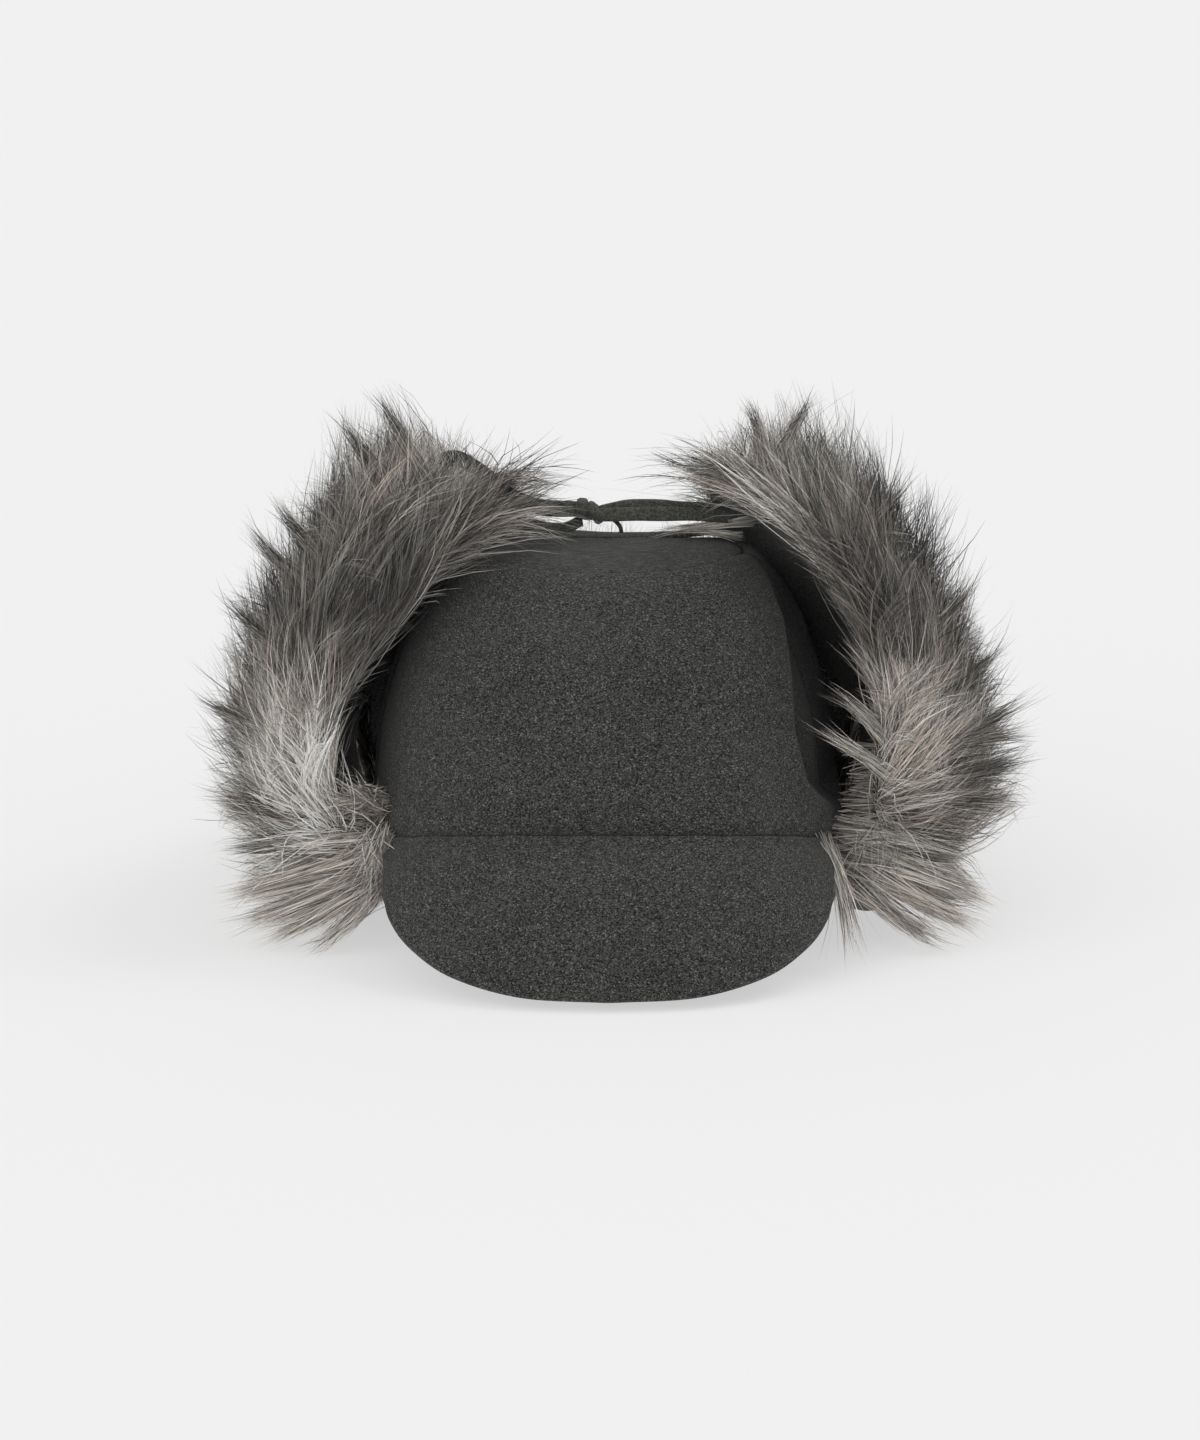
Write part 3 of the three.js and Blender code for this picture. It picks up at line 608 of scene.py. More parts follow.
hairNames = ("perTuft", "stations", "length", "lengthSpread", "spread", "pull", "tuftTurn", "turn", "wave",
             "width", "darkHairs", "darkTips", "tipStart", "over", "overSpread", "tuftSpread")
hairKinds = {name: dict(zip(hairNames, row)) for name, row in dict(
    pile=(22, 5, 1.0, 0.28, 4.6, 0.88, 0.3, 0.1, 1.7, 0.33, 0.2, 0.5, 0.66, -0.5, 2.5, 7.0),
    fuzz=(6, 3, 0.34, 0.3, 3.0, 0.35, 0.4, 0.34, 0.7, 0.34, 0.3, 0.2, 0.7, -3.0, 3.0, 0.0),
    wisp=(4, 5, 1.25, 0.22, 2.0, 0.7, 0.26, 0.12, 2.6, 0.27, 0.4, 0.95, 0.5, 7.0, 3.0, 6.0)).items()}
lockKind = dict(hairKinds["pile"], perTuft=14, darkTips=0.6, over=8.0, overSpread=5.0)
# the hair's way by height up the cloth, seen from the front: 0 is outward, 90 upright and 180
# inward over the crown. Columns: height, length in mm, way at the outer side, way at the front
# edge, the most that it stands off the body as a sine, how far it turns to the front, and tone,
# a brightness factor that paints the light and shade at each height
rightFlow = np.array([
    [0.44, 36, -24, -20, 0.7, 0.45, 1.6],
    [0.48, 38, -8, 0, 0.7, 0.4, 1.9],
    [0.52, 38, 14, 40, 0.7, 0.3, 1.9],
    [0.56, 38, 32, 72, 0.65, 0.25, 1.35],
    [0.62, 40, 52, 98, 0.55, 0.2, 0.9],
    [0.70, 44, 62, 118, 0.5, 0.2, 0.58],
    [0.80, 54, 72, 132, 0.6, 0.15, 0.7],
    [0.87, 60, 78, 136, 0.75, 0.15, 1.3],
    [0.92, 58, 84, 140, 0.65, 0.15, 1.5],
    [0.96, 40, 100, 150, 0.35, 0.1, 1.1],
    [1.00, 26, 140, 168, 0.15, 0.1, 0.85]])
leftFlow = np.array([
    [0.44, 36, -26, -24, 0.7, 0.45, 0.6],
    [0.48, 38, -10, -2, 0.7, 0.4, 0.75],
    [0.52, 40, 8, 30, 0.7, 0.3, 1.2],
    [0.56, 40, 25, 70, 0.65, 0.25, 1.25],
    [0.62, 38, 42, 104, 0.6, 0.2, 0.9],
    [0.70, 42, 56, 108, 0.6, 0.2, 0.42],
    [0.80, 50, 68, 116, 0.65, 0.15, 0.72],
    [0.87, 52, 76, 124, 0.65, 0.15, 1.7],
    [0.92, 52, 88, 130, 0.55, 0.15, 1.9],
    [0.96, 42, 112, 146, 0.3, 0.1, 1.4],
    [1.00, 28, 144, 160, 0.15, 0.1, 1.1]])
neckFlow = np.array([
    [0.44, 44, -20, -20, 0.9, 0.0, 1.0],
    [0.52, 42, 12, 12, 0.9, 0.0, 1.0],
    [0.62, 38, 42, 42, 0.7, 0.0, 1.0],
    [0.80, 38, 64, 64, 0.5, 0.0, 1.0],
    [0.92, 38, 78, 78, 0.4, 0.0, 1.0],
    [1.00, 34, 96, 96, 0.3, 0.0, 0.95]])
# how far the fur reaches, seen from the camera: the angle round a point over the brow, from the
# wearer's left side upwards, and the reach in mm
furOutline = np.column_stack([
    [*range(0, 90, 6), *range(96, 234, 6), 240, 300, *range(312, 360, 6)],
    [144, 141, 136, 135, 135, 134, 130, 128, 128, 122, 121, 104, 93, 84, 80,
     80, 82, 86, 91, 102, 128, 135, 133, 130, 135, 137, 138, 140, 139, 144, 147, 145, 144, 144, 155, 153, 142, 133,
     130, 130, 130, 137, 154, 158, 134, 150, 150, 147]])
furOutlineCentre = 85.0
hairLimits = np.array([400.0, 177.0, 202.0])  # the furthest to the left, the back and the top, mm
# locks that hang over the fold, the front edge and the outline: root, bend and tip in mm, root and tip
# radius, hairs and tone, a brightness factor that paints the light and shade where the lock lies
rightLocks = np.array([
    [-92, -40, 46, -120, -50, 53, -154, -50, 58, 8, 3.5, 420, 1.1],
    [-84, -44, 41, -114, -54, 42, -159, -52, 37, 8, 3.5, 480, 1.15],
    [-84, -46, 35, -114, -58, 29, -158, -56, 17, 8, 3.2, 480, 1.15],
    [-84, -46, 30, -110, -60, 20, -149, -58, 6, 7, 3, 420, 1.1],
    [-86, -48, 28, -104, -60, 15, -132, -60, 3, 6, 3, 320, 1.0],
    [-83, -48, 26, -95, -60, 13, -110, -62, 3, 6, 3, 260, 0.9],
    [-82, -46, 44, -86, -60, 44, -88, -68, 34, 8, 6, 420, 0.95],
    [-84, -44, 52, -90, -56, 58, -98, -60, 62, 8, 6, 360, 0.9],
    [-76, -12, 158, -88, -14, 176, -99, -12, 193, 6, 2, 150, 0.8],
    [-66, -10, 166, -76, -12, 186, -86, -10, 203, 6, 2, 150, 0.8],
    [-100, -16, 134, -113, -18, 147, -125, -16, 163, 6, 2, 140, 0.8],
    [-108, -20, 126, -122, -22, 139, -136, -20, 155, 6, 2, 150, 0.8],
    [-114, -24, 102, -128, -26, 112, -142, -22, 126, 6, 2, 150, 0.85],
    [-122, -28, 76, -138, -30, 81, -156, -26, 92, 6, 2.2, 150, 0.9]])
leftLocks = np.array([
    [98, -38, 68, 124, -46, 76, 155, -46, 83, 7, 3, 460, 1.05],
    [98, -40, 60, 126, -48, 65, 156, -48, 71, 7, 3, 460, 1.1],
    [94, -42, 53, 122, -52, 56, 150, -52, 57, 7, 3, 420, 1.1],
    [89, -46, 44, 120, -56, 46, 156, -54, 37, 7, 3.5, 480, 1.15],
    [89, -46, 38, 118, -58, 33, 148, -56, 19, 7, 3.5, 460, 1.1],
    [89, -46, 32, 114, -60, 22, 140, -58, 8, 7, 3, 400, 1.0],
    [88, -46, 28, 106, -60, 14, 124, -60, 3, 6, 3, 320, 0.9],
    [79, -54, 44, 86, -79, 36, 91, -84, 12, 4.0, 3.4, 240, 0.85],
    [108, -52, 64, 100, -60, 74, 82, -58, 84, 4.5, 2.2, 170, 0.95],
    [108, -50, 72, 101, -58, 88, 87, -54, 97, 5, 2.2, 160, 0.9],
    [106, -48, 82, 104, -58, 100, 93, -54, 116, 6, 3, 220, 0.9],
    [54, 4, 151, 40, 2, 150, 22, 4, 147, 2.4, 1.2, 130, 0.95],
    [50, 0, 146, 40, 0, 147.5, 29, 3, 147.5, 2, 1.2, 80, 0.8],
    [60, -8, 170, 68, -10, 188, 76, -8, 203, 6, 2, 150, 0.9],
    [58, -8, 172, 58, -10, 188, 51, -8, 201, 6, 2, 150, 0.9],
    [88, -14, 140, 99, -16, 155, 111, -14, 170, 6, 2, 150, 0.8],
    [112, -20, 106, 125, -22, 118, 138, -20, 134, 6, 2, 150, 0.8],
    [118, -24, 86, 132, -26, 94, 147, -22, 108, 6, 2, 150, 0.85],
    [124, -28, 72, 141, -30, 79, 159, -26, 91, 6, 2.2, 150, 0.9]])


def furBody(folded, p, q, seed, inset=0.0):
    # over each rib the body's section is half a rounded box: p turns it from the front edge over
    # the top to the back edge, while q climbs the cloth. It stands off along the cloth's normal
    v = furValues
    c, s = np.cos(np.pi * p), np.sin(np.pi * p)
    u = 0.5 - 0.5 * np.sign(c) * np.abs(c) ** (2 / v["bodySquare"])
    height = mix(v["firstHeight"], 1.0, q)
    near = 0.015
    base = foldedCloth(folded, u, height)
    after, before = np.minimum(u + near, 1), np.maximum(u - near, 0)
    across = unit(foldedCloth(folded, after, height) - foldedCloth(folded, before, height))
    higher, lower = np.minimum(height + near, 1), np.maximum(height - near, 0)
    climb = unit(foldedCloth(folded, u, higher) - foldedCloth(folded, u, lower))
    normal = unit(np.cross(across, climb)) * folded["mirror"]
    ends = (1 - np.abs(2 * q - 1) ** 6) ** 0.5
    rise = (v["bodyRise"] - inset) * np.abs(s) ** (2 / v["bodySquare"]) * mix(v["endRise"], 1, ends)
    (big, bigSize), (small, smallSize) = v["lumps"]
    lumpy = 1 + big * ripple(base, bigSize, seed) + small * ripple(base, smallSize, seed + 1)
    rim = (v["bodyRim"] - inset) * np.sign(c) * np.abs(c) ** 3 * np.abs(s) ** 0.3
    points = base + normal * ((rise + v["leastRise"]) * lumpy)[..., None] - across * rim[..., None]
    points = points + climb * ((v["bodyRim"] - inset) * smooth(0.9, 1, q) * np.abs(s))[..., None]
    points[..., 2] = np.maximum(points[..., 2], v["bodyFloor"])
    return points


def fieldOf(folded, seed):
    # the body's place, outward normal, the cloth's height and the nearness to the front edge on
    # a fine grid of shares, with the area that each grid point stands for
    line = np.linspace(0, 1, furValues["fieldSize"])
    p, q = np.meshgrid(line, line)
    points = furBody(folded, p, q, seed)
    normal = np.cross(np.gradient(points, axis=1), np.gradient(points, axis=0))
    height, front = mix(furValues["firstHeight"], 1.0, q), 0.5 + 0.5 * np.cos(np.pi * p)
    field = [points, unit(normal) * folded["mirror"], height[..., None], front[..., None]]
    return np.concatenate(field, -1), norm(normal)


def readField(field, p, q):
    # the field between its grid points, weighted by nearness along both ways
    rows, columns = field.shape[:2]
    x, y = np.clip(p, 0, 1) * (columns - 1), np.clip(q, 0, 1) * (rows - 1)
    i, j = np.minimum(x.astype(int), columns - 2), np.minimum(y.astype(int), rows - 2)
    fx, fy = (x - i)[..., None], (y - j)[..., None]
    low = mix(field[j, i], field[j, i + 1], fx)
    return mix(low, mix(field[j + 1, i], field[j + 1, i + 1], fx), fy)


def turned(way, axis, angle):
    # a direction turned about an axis by an angle: its cosine stays, its sine goes to the side
    return unit(way * np.cos(angle)[..., None] + np.cross(axis, way) * np.sin(angle)[..., None])


def factors(rng, spread, limits, size):
    # random factors near 1, kept within their limits
    return np.clip(rng.normal(1, spread, size), *limits)


def hairWay(fur, here, turn, rng):
    # the flow's slope between its outer and front ways, swirled about the normal, then laid
    # down or lifted until it stands off the body within the flow's limits
    v = furValues
    root, normal, height, front = here[..., :3], unit(here[..., 3:6]), here[..., 6], here[..., 7]
    flow = fur["flow"]
    length, outer, inner, most, forward, tone = [np.interp(height, flow[:, 0], flow[:, i]) for i in range(1, 7)]
    slope = np.radians(mix(outer, inner, smooth(*v["frontWay"], front)))
    level = unit(root * np.array(fur["spreading"]) + np.array(fur["sideways"]))
    way = level * np.cos(slope)[..., None] + np.array([0, 0, 1]) * np.sin(slope)[..., None]
    way[..., 1] -= forward * front
    swirl = v["swirl"] * ripple(root, v["swirlSize"], fur["seed"] + 2)
    swirl = swirl + v["curl"] * ripple(root, v["curlSize"], fur["seed"] + 3)
    swirl = swirl * (1 - v["calm"] * smooth(*v["calmFront"], front) * smooth(*v["calmHeight"], height))
    way = turned(unit(way), normal, swirl)
    way = unit(way + turn * rng.normal(size=way.shape))
    lift = (way * normal).sum(-1)
    way = unit(way + normal * (np.clip(lift, v["leastLift"], most) - lift)[..., None])
    return root, normal, way, length, tone


def hairPath(root, normal, way, length, share, sideways):
    # out along its way, swept to one side and settling back to the body by the square of the share
    bend = np.cross(way, normal) * sideways[:, None] - normal * furValues["settle"]
    bend = bend + np.array([0, 0, furValues["upward"]])
    out = way[:, None] * share[None, :, None] + bend[:, None] * (share ** 2)[None, :, None]
    return root[:, None] + out * length[:, None, None]


def fromBrow(points):
    # across and up as the camera sees them, round the outline's centre
    tilt = radians(cameraValues["downBy"])
    return points[:, 0], points[:, 2] * np.cos(tilt) + points[:, 1] * np.sin(tilt) - furOutlineCentre


def trimmed(path, fur, front, over, within):
    # a hair whose tip passes the outline by more than over, or the front edge of its cloth by
    # more than within, is drawn back to its root until the tip lies on it. Also gives how near
    # each tip comes to the outline, from 0 to 1
    v = furValues
    least = v["leastKept"]
    rim = foldedCloth(fur["folded"], np.zeros(40), np.linspace(*v["rimSpan"], 40))
    rimHeight, rimReach = np.append(rim[:, 2], rim[-1, 2] + 10), np.append(np.abs(rim[:, 0]), 0.0)
    root = path[:, 0]
    rootReach = np.hypot(*fromBrow(root))

    def drawn(keep):
        return root[:, None] + (path - root[:, None]) * keep[:, None, None]
    for trim in range(3):
        tip = path[:, -1]
        past = np.maximum(tip - hairLimits - np.minimum(over, v["mostOverLimits"])[:, None], 0)
        past = past / np.maximum(np.abs(tip - root), 1e-3)
        path = drawn(np.clip(1 - past.max(-1), least, 1))
        tip = path[:, -1]
        x, w = fromBrow(tip)
        most = np.interp(np.degrees(np.arctan2(w, x)), furOutline[:, 0], furOutline[:, 1], period=360) + over
        keep = np.clip((most - rootReach) / np.maximum(np.hypot(x, w) - rootReach, 1e-3), least, 1)
        keep = np.where(np.hypot(x, w) > most, keep, 1)
        if fur["rimmed"]:
            nearest = np.interp(tip[:, 2], rimHeight, rimReach, left=0) - within
            inward = np.maximum(np.abs(root[:, 0]) - np.abs(x), 1e-3)
            inner = np.clip((np.abs(root[:, 0]) - nearest) / inward, least, 1)
            keep = np.minimum(keep, np.where((np.abs(x) < nearest) & (front > v["rimFront"]), inner, 1))
        path = drawn(keep)
    tip = path[:, -1]
    reach = np.hypot(*fromBrow(tip))
    return path, smooth(*v["edgeNear"], reach - (most - over)) * smooth(*v["edgeHeight"], tip[:, 2])


def growHairs(fur, field, area, kind, tufts, rng):
    # roots are scattered by area, more to the front edge, and the tufts' tips draw in their hairs
    v = furValues
    share = np.linspace(0, 1, kind["stations"]) ** v["stationPower"]
    rows, columns = area.shape
    pCell, qCell = np.meshgrid(np.arange(columns) / (columns - 1), np.arange(rows) / (rows - 1))
    weight = area * (1 + fur["frontMore"] * smooth(*v["frontRoots"], pCell))
    cell = rng.choice(weight.size, tufts, p=(weight / weight.sum()).ravel())
    p, q = [at.ravel()[cell] + rng.uniform(-0.5, 0.5, tufts) / (size - 1)
            for at, size in ((pCell, columns), (qCell, rows))]
    root, normal, way, length, tone = hairWay(fur, readField(field, p, q), kind["tuftTurn"], rng)
    sweep = v["sweep"] * ripple(root, v["sweepSize"], fur["seed"] + 4)
    tuftLength = length * kind["length"] * factors(rng, kind["lengthSpread"], v["tuftLengths"], tufts)
    axis = hairPath(root, normal, way, tuftLength, share, sweep + rng.normal(0, v["tuftSweep"], tufts))

    owner = np.repeat(np.arange(tufts), kind["perTuft"])
    count = len(owner)
    spread = [kind["spread"] / norm(np.diff(field[..., :3], axis=axis)).sum(axis).mean() for axis in (1, 0)]
    near = [np.clip(at[owner] + rng.normal(0, size, count), 0, 1) for at, size in zip((p, q), spread)]
    here = readField(field, *near)
    root, normal, way, length, tone = hairWay(fur, here, kind["turn"], rng)
    length = tuftLength[owner] * factors(rng, v["hairSpread"], v["hairLengths"], count)
    path = hairPath(root, normal, way, length, share, sweep[owner] + rng.normal(0, v["hairSweep"], count))
    pull = np.clip(kind["pull"] * rng.uniform(*v["pull"], count), 0, v["mostPull"])
    path = path + (axis[owner] - path) * (pull[:, None] * share[None, :] ** v["pullPower"])[..., None]
    side = unit(np.cross(way, rng.normal(size=(count, 3))))
    wave = rng.normal(0, kind["wave"], count)[:, None]
    wave = wave * np.sin(share[None, :] * rng.uniform(*v["waveTurns"], count)[:, None])
    path = path + side[:, None] * wave[..., None]
    # the shaded hollow beside the crown: painted shade darkens these hairs and darkens more of their tips
    inner = smooth(*v["innerFront"], here[..., 7]) * smooth(*v["innerHeight"], here[..., 6])
    over = rng.normal(kind["over"], kind["overSpread"], count) + rng.normal(0, kind["tuftSpread"], tufts)[owner]
    within = rng.normal(kind["over"] + fur["within"], v["withinSpread"], count)
    path, edge = trimmed(path, fur, here[..., 7], over, within)
    edge = np.maximum(edge, v["innerShadeTips"] * inner)
    return path, normal, owner, share, tone * mix(1, fur["innerPaintedShade"], inner), edge


def growLocks(fur, kind, rng):
    # each lock's hairs start in its root disc and close to its tip along a bent line
    rows = fur["locks"]
    share = np.linspace(0, 1, kind["stations"]) ** furValues["stationPower"]
    row, count = np.repeat(rows, rows[:, 11].astype(int), 0), int(rows[:, 11].sum())
    root = row[:, 0:3] + row[:, 9:10] * 0.5 * rng.normal(size=(count, 3))
    tip = row[:, 6:9] + row[:, 10:11] * rng.normal(size=(count, 3)) * np.array([1, 1, 0.8])
    bend = row[:, 3:6] + mix(row[:, 9:10], row[:, 10:11], 0.5) * 0.55 * rng.normal(size=(count, 3))
    reach = np.clip(rng.normal(0.9, 0.2, count), 0.35, 1.25)[:, None] * share[None, :]
    a, b = ((1 - reach) ** 2)[..., None], (2 * reach * (1 - reach))[..., None]
    path = a * root[:, None] + b * bend[:, None] + (reach ** 2)[..., None] * tip[:, None]
    normal = unit(rng.normal(size=(count, 3)) + np.array([0, -1.0, 0.5]))
    path, edge = trimmed(path, fur, np.zeros(count), rng.normal(kind["over"], kind["overSpread"], count), 0)
    return path, normal, np.arange(count) // kind["perTuft"], share, row[:, 12], edge


def hairColours(kind, owner, share, tone, edge, rng):
    # light, middle and warm tufts with a few dark hairs, darker at the root and often at the tip,
    # the more so the nearer the hair comes to the outline. In the shaded hollow by the crown more tips
    # are dark as painted shade, and each hair is scaled by its tone, which paints light and shade
    v = toneValues
    light, middle, warm, dark, tip = [np.array(linear(v[name])[:3])
                                      for name in ("light", "middle", "warm", "dark", "tip")]
    tufts, count = owner.max() + 1, len(owner)
    pale = rng.uniform(*v["pale"], (tufts, 1))
    blush = (rng.uniform(0, 1, (tufts, 1)) < v["warmShare"]) * rng.uniform(*v["warmth"], (tufts, 1))
    body = mix(mix(middle, light, pale), warm, blush)[owner]
    darkened = (rng.uniform(0, 1, (count, 1)) < kind["darkHairs"]) * rng.uniform(*v["darkness"], (count, 1))
    body = mix(body, dark, darkened) * factors(rng, v["hairSpread"], v["limits"], (count, 1)) * tone[:, None]
    body = body * factors(rng, v["tuftSpread"], v["limits"], (tufts, 1))[owner]
    cluster = (rng.uniform(0, 1, tufts) < v["darkClusters"])[owner]
    (low, more), (lowElse, moreElse) = v["clusterTips"], v["otherTips"]
    chance = kind["darkTips"] * np.where(cluster, low + more * edge, lowElse + moreElse * edge)
    ended = (rng.uniform(0, 1, count) < chance) * rng.uniform(*v["tipDepth"], count)
    start = kind["tipStart"] - v["tipEarlier"] * cluster - v["tipEarlier"] * edge
    start = start + rng.uniform(-v["tipJitter"], v["tipJitter"], count)
    tipShare = ended[:, None] * smooth(0, v["tipFade"], share[None, :] - start[:, None])
    root = mix(v["rootTone"], 1.0, smooth(0.0, v["rootFade"], share))[None, :, None]
    return np.clip(mix(body[:, None] * root, tip[None, None], tipShare[..., None]), 0, 1)


def ribbons(kind, grown, rng):
    # two points beside the path at each station but the last, where the ribbon ends in a point
    path, outward, owner, share, tone, edge = grown
    colours = hairColours(kind, owner, share, tone, edge, rng)
    v = furValues
    count, stations = path.shape[:2]
    path[..., 2] = np.maximum(path[..., 2], v["floor"])
    tangent = unit(np.gradient(path, axis=1))
    flatWay = unit(np.cross(tangent, outward[:, None] + 0.6 * rng.normal(size=(count, 1, 3))))
    taper = (1 - np.linspace(0, 1, stations)[:-1] ** v["taperPower"]) * 0.5
    half = (kind["width"] * factors(rng, *v["widths"], count)[:, None] * taper)[..., None] * flatWay[:, :-1]
    pairs = np.stack([path[:, :-1] - half, path[:, :-1] + half], 2).reshape(count, -1, 3)
    points = np.concatenate([pairs, path[:, -1:]], 1)
    tint = np.concatenate([np.repeat(colours[:, :-1], 2, 1), colours[:, -1:]], 1)
    a = np.arange(stations - 2) * 2
    end = 2 * (stations - 2) + np.arange(3)
    one = np.concatenate([np.stack([a, a + 1, a + 3], -1), np.stack([a, a + 3, a + 2], -1), [end]])
    faces = (one[None] + (np.arange(count) * points.shape[1])[:, None, None]).reshape(-1, 3)
    return points.reshape(-1, 3), faces, tint.reshape(-1, 3)


def furMesh(name, groups):
    # several groups of ribbons as one mesh, each group's faces moved past the points before it
    points, faces, tints = zip(*groups)
    start = np.cumsum([0] + [len(group) for group in points[:-1]])
    faces = np.concatenate([group + first for group, first in zip(faces, start)])
    return meshFrom(name, np.concatenate(points), faces, colour=np.concatenate(tints))


# spreading and sideways: the level way out is the place round the crown times the first, plus the
# second. The counts are tufts
earFlapFur = dict(spreading=(0, 0, 0), frontMore=1.6, rimmed=True, pile=1060, fuzz=1500, wisp=700)
# each fur's share of tone left in the shaded hollow by the crown is painted shade; the neck's fur keeps all of it
furPieces = [
    dict(earFlapFur, name="furLeft", node="fur_left", folded=foldedPieces[0], flow=leftFlow, locks=leftLocks,
         seed=101, sideways=(1, 0, 0), within=2.5, innerPaintedShade=0.7),
    dict(earFlapFur, name="furRight", node="fur_right", folded=foldedPieces[1], flow=rightFlow, locks=rightLocks,
         seed=202, sideways=(-1, 0, 0), within=5.5, innerPaintedShade=0.45),
    dict(name="furNeck", node="fur_neck", folded=foldedPieces[2], flow=neckFlow, locks=None, seed=303,
         spreading=(0.8, 1, 0), sideways=(0, 0, 0), frontMore=0.0, rimmed=False, within=0.0, innerPaintedShade=1.0,
         pile=820, fuzz=900, wisp=400)]

for fur in furPieces:
    rng = np.random.default_rng(fur["seed"])
    name, node, folded = fur["name"], fur["node"], fur["folded"]
    field, area = fieldOf(folded, fur["seed"])
    groups = {}
    for kindName, kind in hairKinds.items():
        groups[kindName] = ribbons(kind, growHairs(fur, field, area, kind, fur[kindName], rng), rng)
    loose = [groups["wisp"]]
    if fur["locks"] is not None:
        loose.append(ribbons(lockKind, growLocks(fur, lockKind, rng), rng))
    for suffix, parts in (("Pile", [groups["pile"], groups["fuzz"]]), ("Wisps", loose)):
        mesh = furMesh(name + suffix, parts)
        addPiece(name + suffix, mesh, hairFibre, node)
        print(name + suffix, "triangles", len(mesh.polygons))
    p, q = np.meshgrid(np.linspace(0, 1, 70), shares(64, 0.02))
    under = furBody(folded, p, q, fur["seed"], inset=furValues["rounding"])
    addCloth(name + "Underfur", under, furValues, shortFibre, node)


# Ties: folded cloth straps, flat, with rounded edges, on a smooth path
tieValues = dict(wall=1.7, stations=70, around=20, sideSquare=4.5, square=2.6)
# the angle of the width from upright, first and last, the width and the route of each strap
ties = [
    dict(name="tieRight", node="tie_right", turn=(15, 15), width=5.8, route=[
        (-72, 25, 158), (-66, 25, 167.4), (-58, 22, 171), (-48, 14, 168), (-37, 5, 160.9), (-26, 1, 157.1),
        (-11, -1, 156.6)]),
    dict(name="tieRightLower", node="tie_right_lower", turn=(30, 45), width=4.8, route=[
        (-37.5, 3.5, 152.4), (-30, 3, 149.8), (-22, 2.5, 148.4), (-16, 2, 148.8), (-10, 0, 152)]),
    dict(name="tieLeft", node="tie_left", turn=(16, 16), width=5.2, route=[
        (-4, -1, 154.4), (14, -1, 154.8), (32, 0, 154.4), (44, 3, 152.8), (58, 8, 150)]),
    dict(name="tieLoop", node="tie_loop", turn=(20, 20), width=5.0, route=[
        (-4, 2.6, 154.4), (4, 4, 156.0), (15, 4.5, 156.8), (28, 4, 156.1), (42, 5, 155)]),
    dict(name="tieUnder", node="tie_under", turn=(70, 82), width=5.4, route=[
        (-44, 11, 144.2), (-31, 8, 145.6), (-16, 7.5, 145.0), (0, 8.5, 144.0), (17, 9.0, 144.0),
        (31, 9.5, 144.9), (44, 10, 146.4)]),
    dict(name="tieEnd", node="tie_end", turn=(90, 90), width=2.4, wall=1.5, route=[
        (0.2, 3.4, 152.6), (2.6, 4.2, 150.9), (4.4, 4.8, 148.6), (5.0, 5.2, 146.4)])]


def strapMesh(name, route, turn, width, wall):
    # a squared oval profile carried along the route, its width turned from upright about X by an
    # angle that runs from the first to the last of turn, with a fan of triangles over each end
    v = tieValues
    stations, around = v["stations"], v["around"]
    share = np.linspace(0, 1, stations)
    line = np.array(route, dtype=float)
    path = alongPath(np.broadcast_to(line[:, None], (len(line), stations, 3)), share)
    tangent = unit(np.gradient(path, axis=0))
    angle = np.radians(mix(turn[0], turn[1], share))
    upright = np.stack([np.zeros(stations), np.sin(angle), np.cos(angle)], -1)
    across = unit(upright - tangent * (tangent * upright).sum(-1, keepdims=True))
    through = np.cross(tangent, across)
    angle = np.linspace(0, 2 * np.pi, around, endpoint=False)
    c, s = np.cos(angle), np.sin(angle)
    a = np.sign(c) * np.abs(c) ** (2 / v["sideSquare"]) * width / 2
    b = np.sign(s) * np.abs(s) ** (2 / v["square"]) * wall / 2
    worn = 1 + 0.05 * np.sin(share * 9 + width) + 0.03 * np.sin(share * 23)
    ring = a[None, :, None] * worn[:, None, None] * across[:, None] + b[None, :, None] * through[:, None]
    points = path[:, None] + ring
    wrapped = np.concatenate([points, points[:, :1]], 1)
    rim, lastRow, base = np.arange(around), (stations - 1) * (around + 1), stations * (around + 1)
    first, last = np.full(around, base), np.full(around, base + 1)
    faces = np.concatenate([gridFaces(stations, around + 1), np.stack([rim + 1, rim, first, first], -1),
                            np.stack([lastRow + rim, lastRow + rim + 1, last, last], -1)])
    along = arcLength(path[None], 1)[0]
    uv = np.stack(np.broadcast_arrays(along[:, None], np.append(a, a[0])[None, :]), -1).reshape(-1, 2) / 1000
    uv = np.concatenate([uv, [[0, 0], [along[-1] / 1000, 0]]])
    return meshFrom(name, np.concatenate([wrapped.reshape(-1, 3), path[[0, -1]]]), faces, uv=uv, merge=1e-6)


for tie in ties:
    mesh = strapMesh(tie["name"], tie["route"], tie["turn"], tie["width"], tie.get("wall", tieValues["wall"]))
    addPiece(tie["name"], mesh, tieJersey, tie["node"])


# Knot: an upright wrap and a slanted one over a small core, each a squared ball turned about Y
knotValues = dict(
    columns=48, rows=30, uvSize=(0.022, 0.016), hemDepth=0.05, hemPlace=0.72, hemWidth=0.09,
    lumps=[dict(centre=(-7.3, 0.2, 155.6), size=(8.0, 5.4, 6.6), square=3.0, turn=0.0),
           dict(centre=(-9.8, -0.6, 157.0), size=(4.6, 7.4, 7.0), square=4.2, turn=4.0),
           dict(centre=(-5.0, -0.4, 155.2), size=(4.3, 7.0, 9.0), square=3.6, turn=-34.0)])


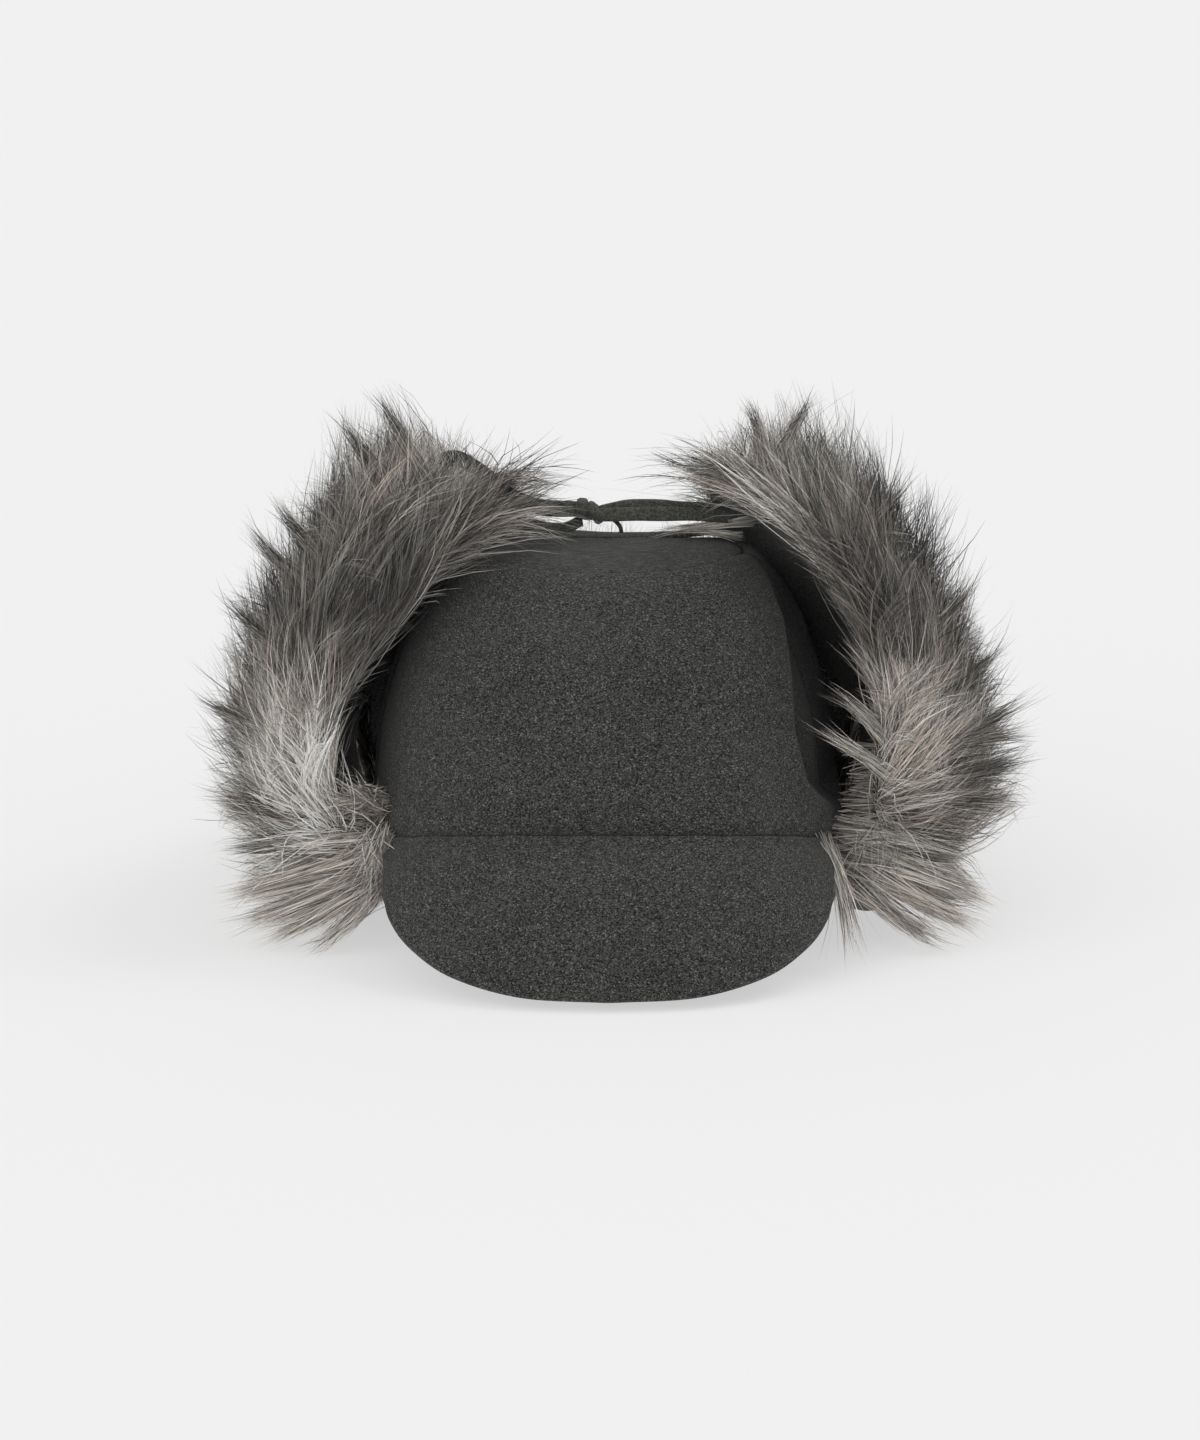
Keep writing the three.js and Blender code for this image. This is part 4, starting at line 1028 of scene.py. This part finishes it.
def squaredBall(lump, columns, rows):
    # a ball whose points are pushed out to a rounded box by the power of their sum, with a faint
    # edge line on each side of the wrap
    v = knotValues
    turn, rise = np.meshgrid(np.linspace(0, 2 * np.pi, columns), np.linspace(-np.pi / 2, np.pi / 2, rows))
    ball = np.stack([np.cos(rise) * np.cos(turn), np.cos(rise) * np.sin(turn), np.sin(rise)], -1)
    ball = ball / (np.abs(ball) ** lump["square"]).sum(-1, keepdims=True) ** (1 / lump["square"])
    hem = 1 - v["hemDepth"] * np.exp(-((np.abs(ball[..., :1]) - v["hemPlace"]) / v["hemWidth"]) ** 2)
    points = ball * hem * np.array(lump["size"]) / 2
    c, s = np.cos(radians(lump["turn"])), np.sin(radians(lump["turn"]))
    return points @ np.array([[c, 0, -s], [0, 1, 0], [s, 0, c]]) + np.array(lump["centre"])


columns, rows, lumps = knotValues["columns"], knotValues["rows"], knotValues["lumps"]
points = np.concatenate([squaredBall(lump, columns, rows).reshape(-1, 3) for lump in lumps])
faces = np.concatenate([gridFaces(rows, columns, rows * columns * i) for i in range(len(lumps))])
wide, high = knotValues["uvSize"]
uv = np.stack(np.meshgrid(np.linspace(0, wide, columns), np.linspace(0, high, rows)), -1).reshape(-1, 2)
knot = meshFrom("tieKnot", points, faces, uv=np.concatenate([uv] * len(lumps)), merge=1e-6)
addPiece("tieKnot", knot, tieJersey, "tie_knot")
print("ties made")


# Floor and light: a plain pale floor under an even sky, with a wide soft light and a wider one
stageValues = dict(floorSize=40.0, floorTint="#9a9a9a", skyStrength=0.7,
                   suns=[dict(name="keySun", strength=0.7, angle=30.0, turn=(-10.0, 36.0, 0.0)),
                         dict(name="fillSun", strength=1.0, angle=90.0, turn=(52.0, -52.0, 0.0))])

floorMesh = bpy.data.meshes.new("studioFloor")
reach = stageValues["floorSize"] / 2
corners = [(-reach, -reach, 0), (reach, -reach, 0), (reach, reach, 0), (-reach, reach, 0)]
floorMesh.from_pydata(corners, [], [(0, 1, 2, 3)])
floorPiece = bpy.data.objects.new("studioFloor", floorMesh)
floorMesh.materials.append(newMaterial("studioFloorPaint", studioPaint, stageValues["floorTint"]))
bpy.context.scene.collection.objects.link(floorPiece)

world = bpy.data.worlds.new("studioSky")
bpy.context.scene.world = world
world.use_nodes = True
sky = world.node_tree.nodes["Background"]
sky.inputs["Color"].default_value = linear("#ffffff")
sky.inputs["Strength"].default_value = stageValues["skyStrength"]
for lamp in stageValues["suns"]:
    sunData = bpy.data.lights.new(lamp["name"], "SUN")
    sunData.energy = lamp["strength"]
    sunData.angle = radians(lamp["angle"])
    sun = bpy.data.objects.new(lamp["name"], sunData)
    sun.rotation_euler = tuple(radians(a) for a in lamp["turn"])
    bpy.context.scene.collection.objects.link(sun)
print("stage set")
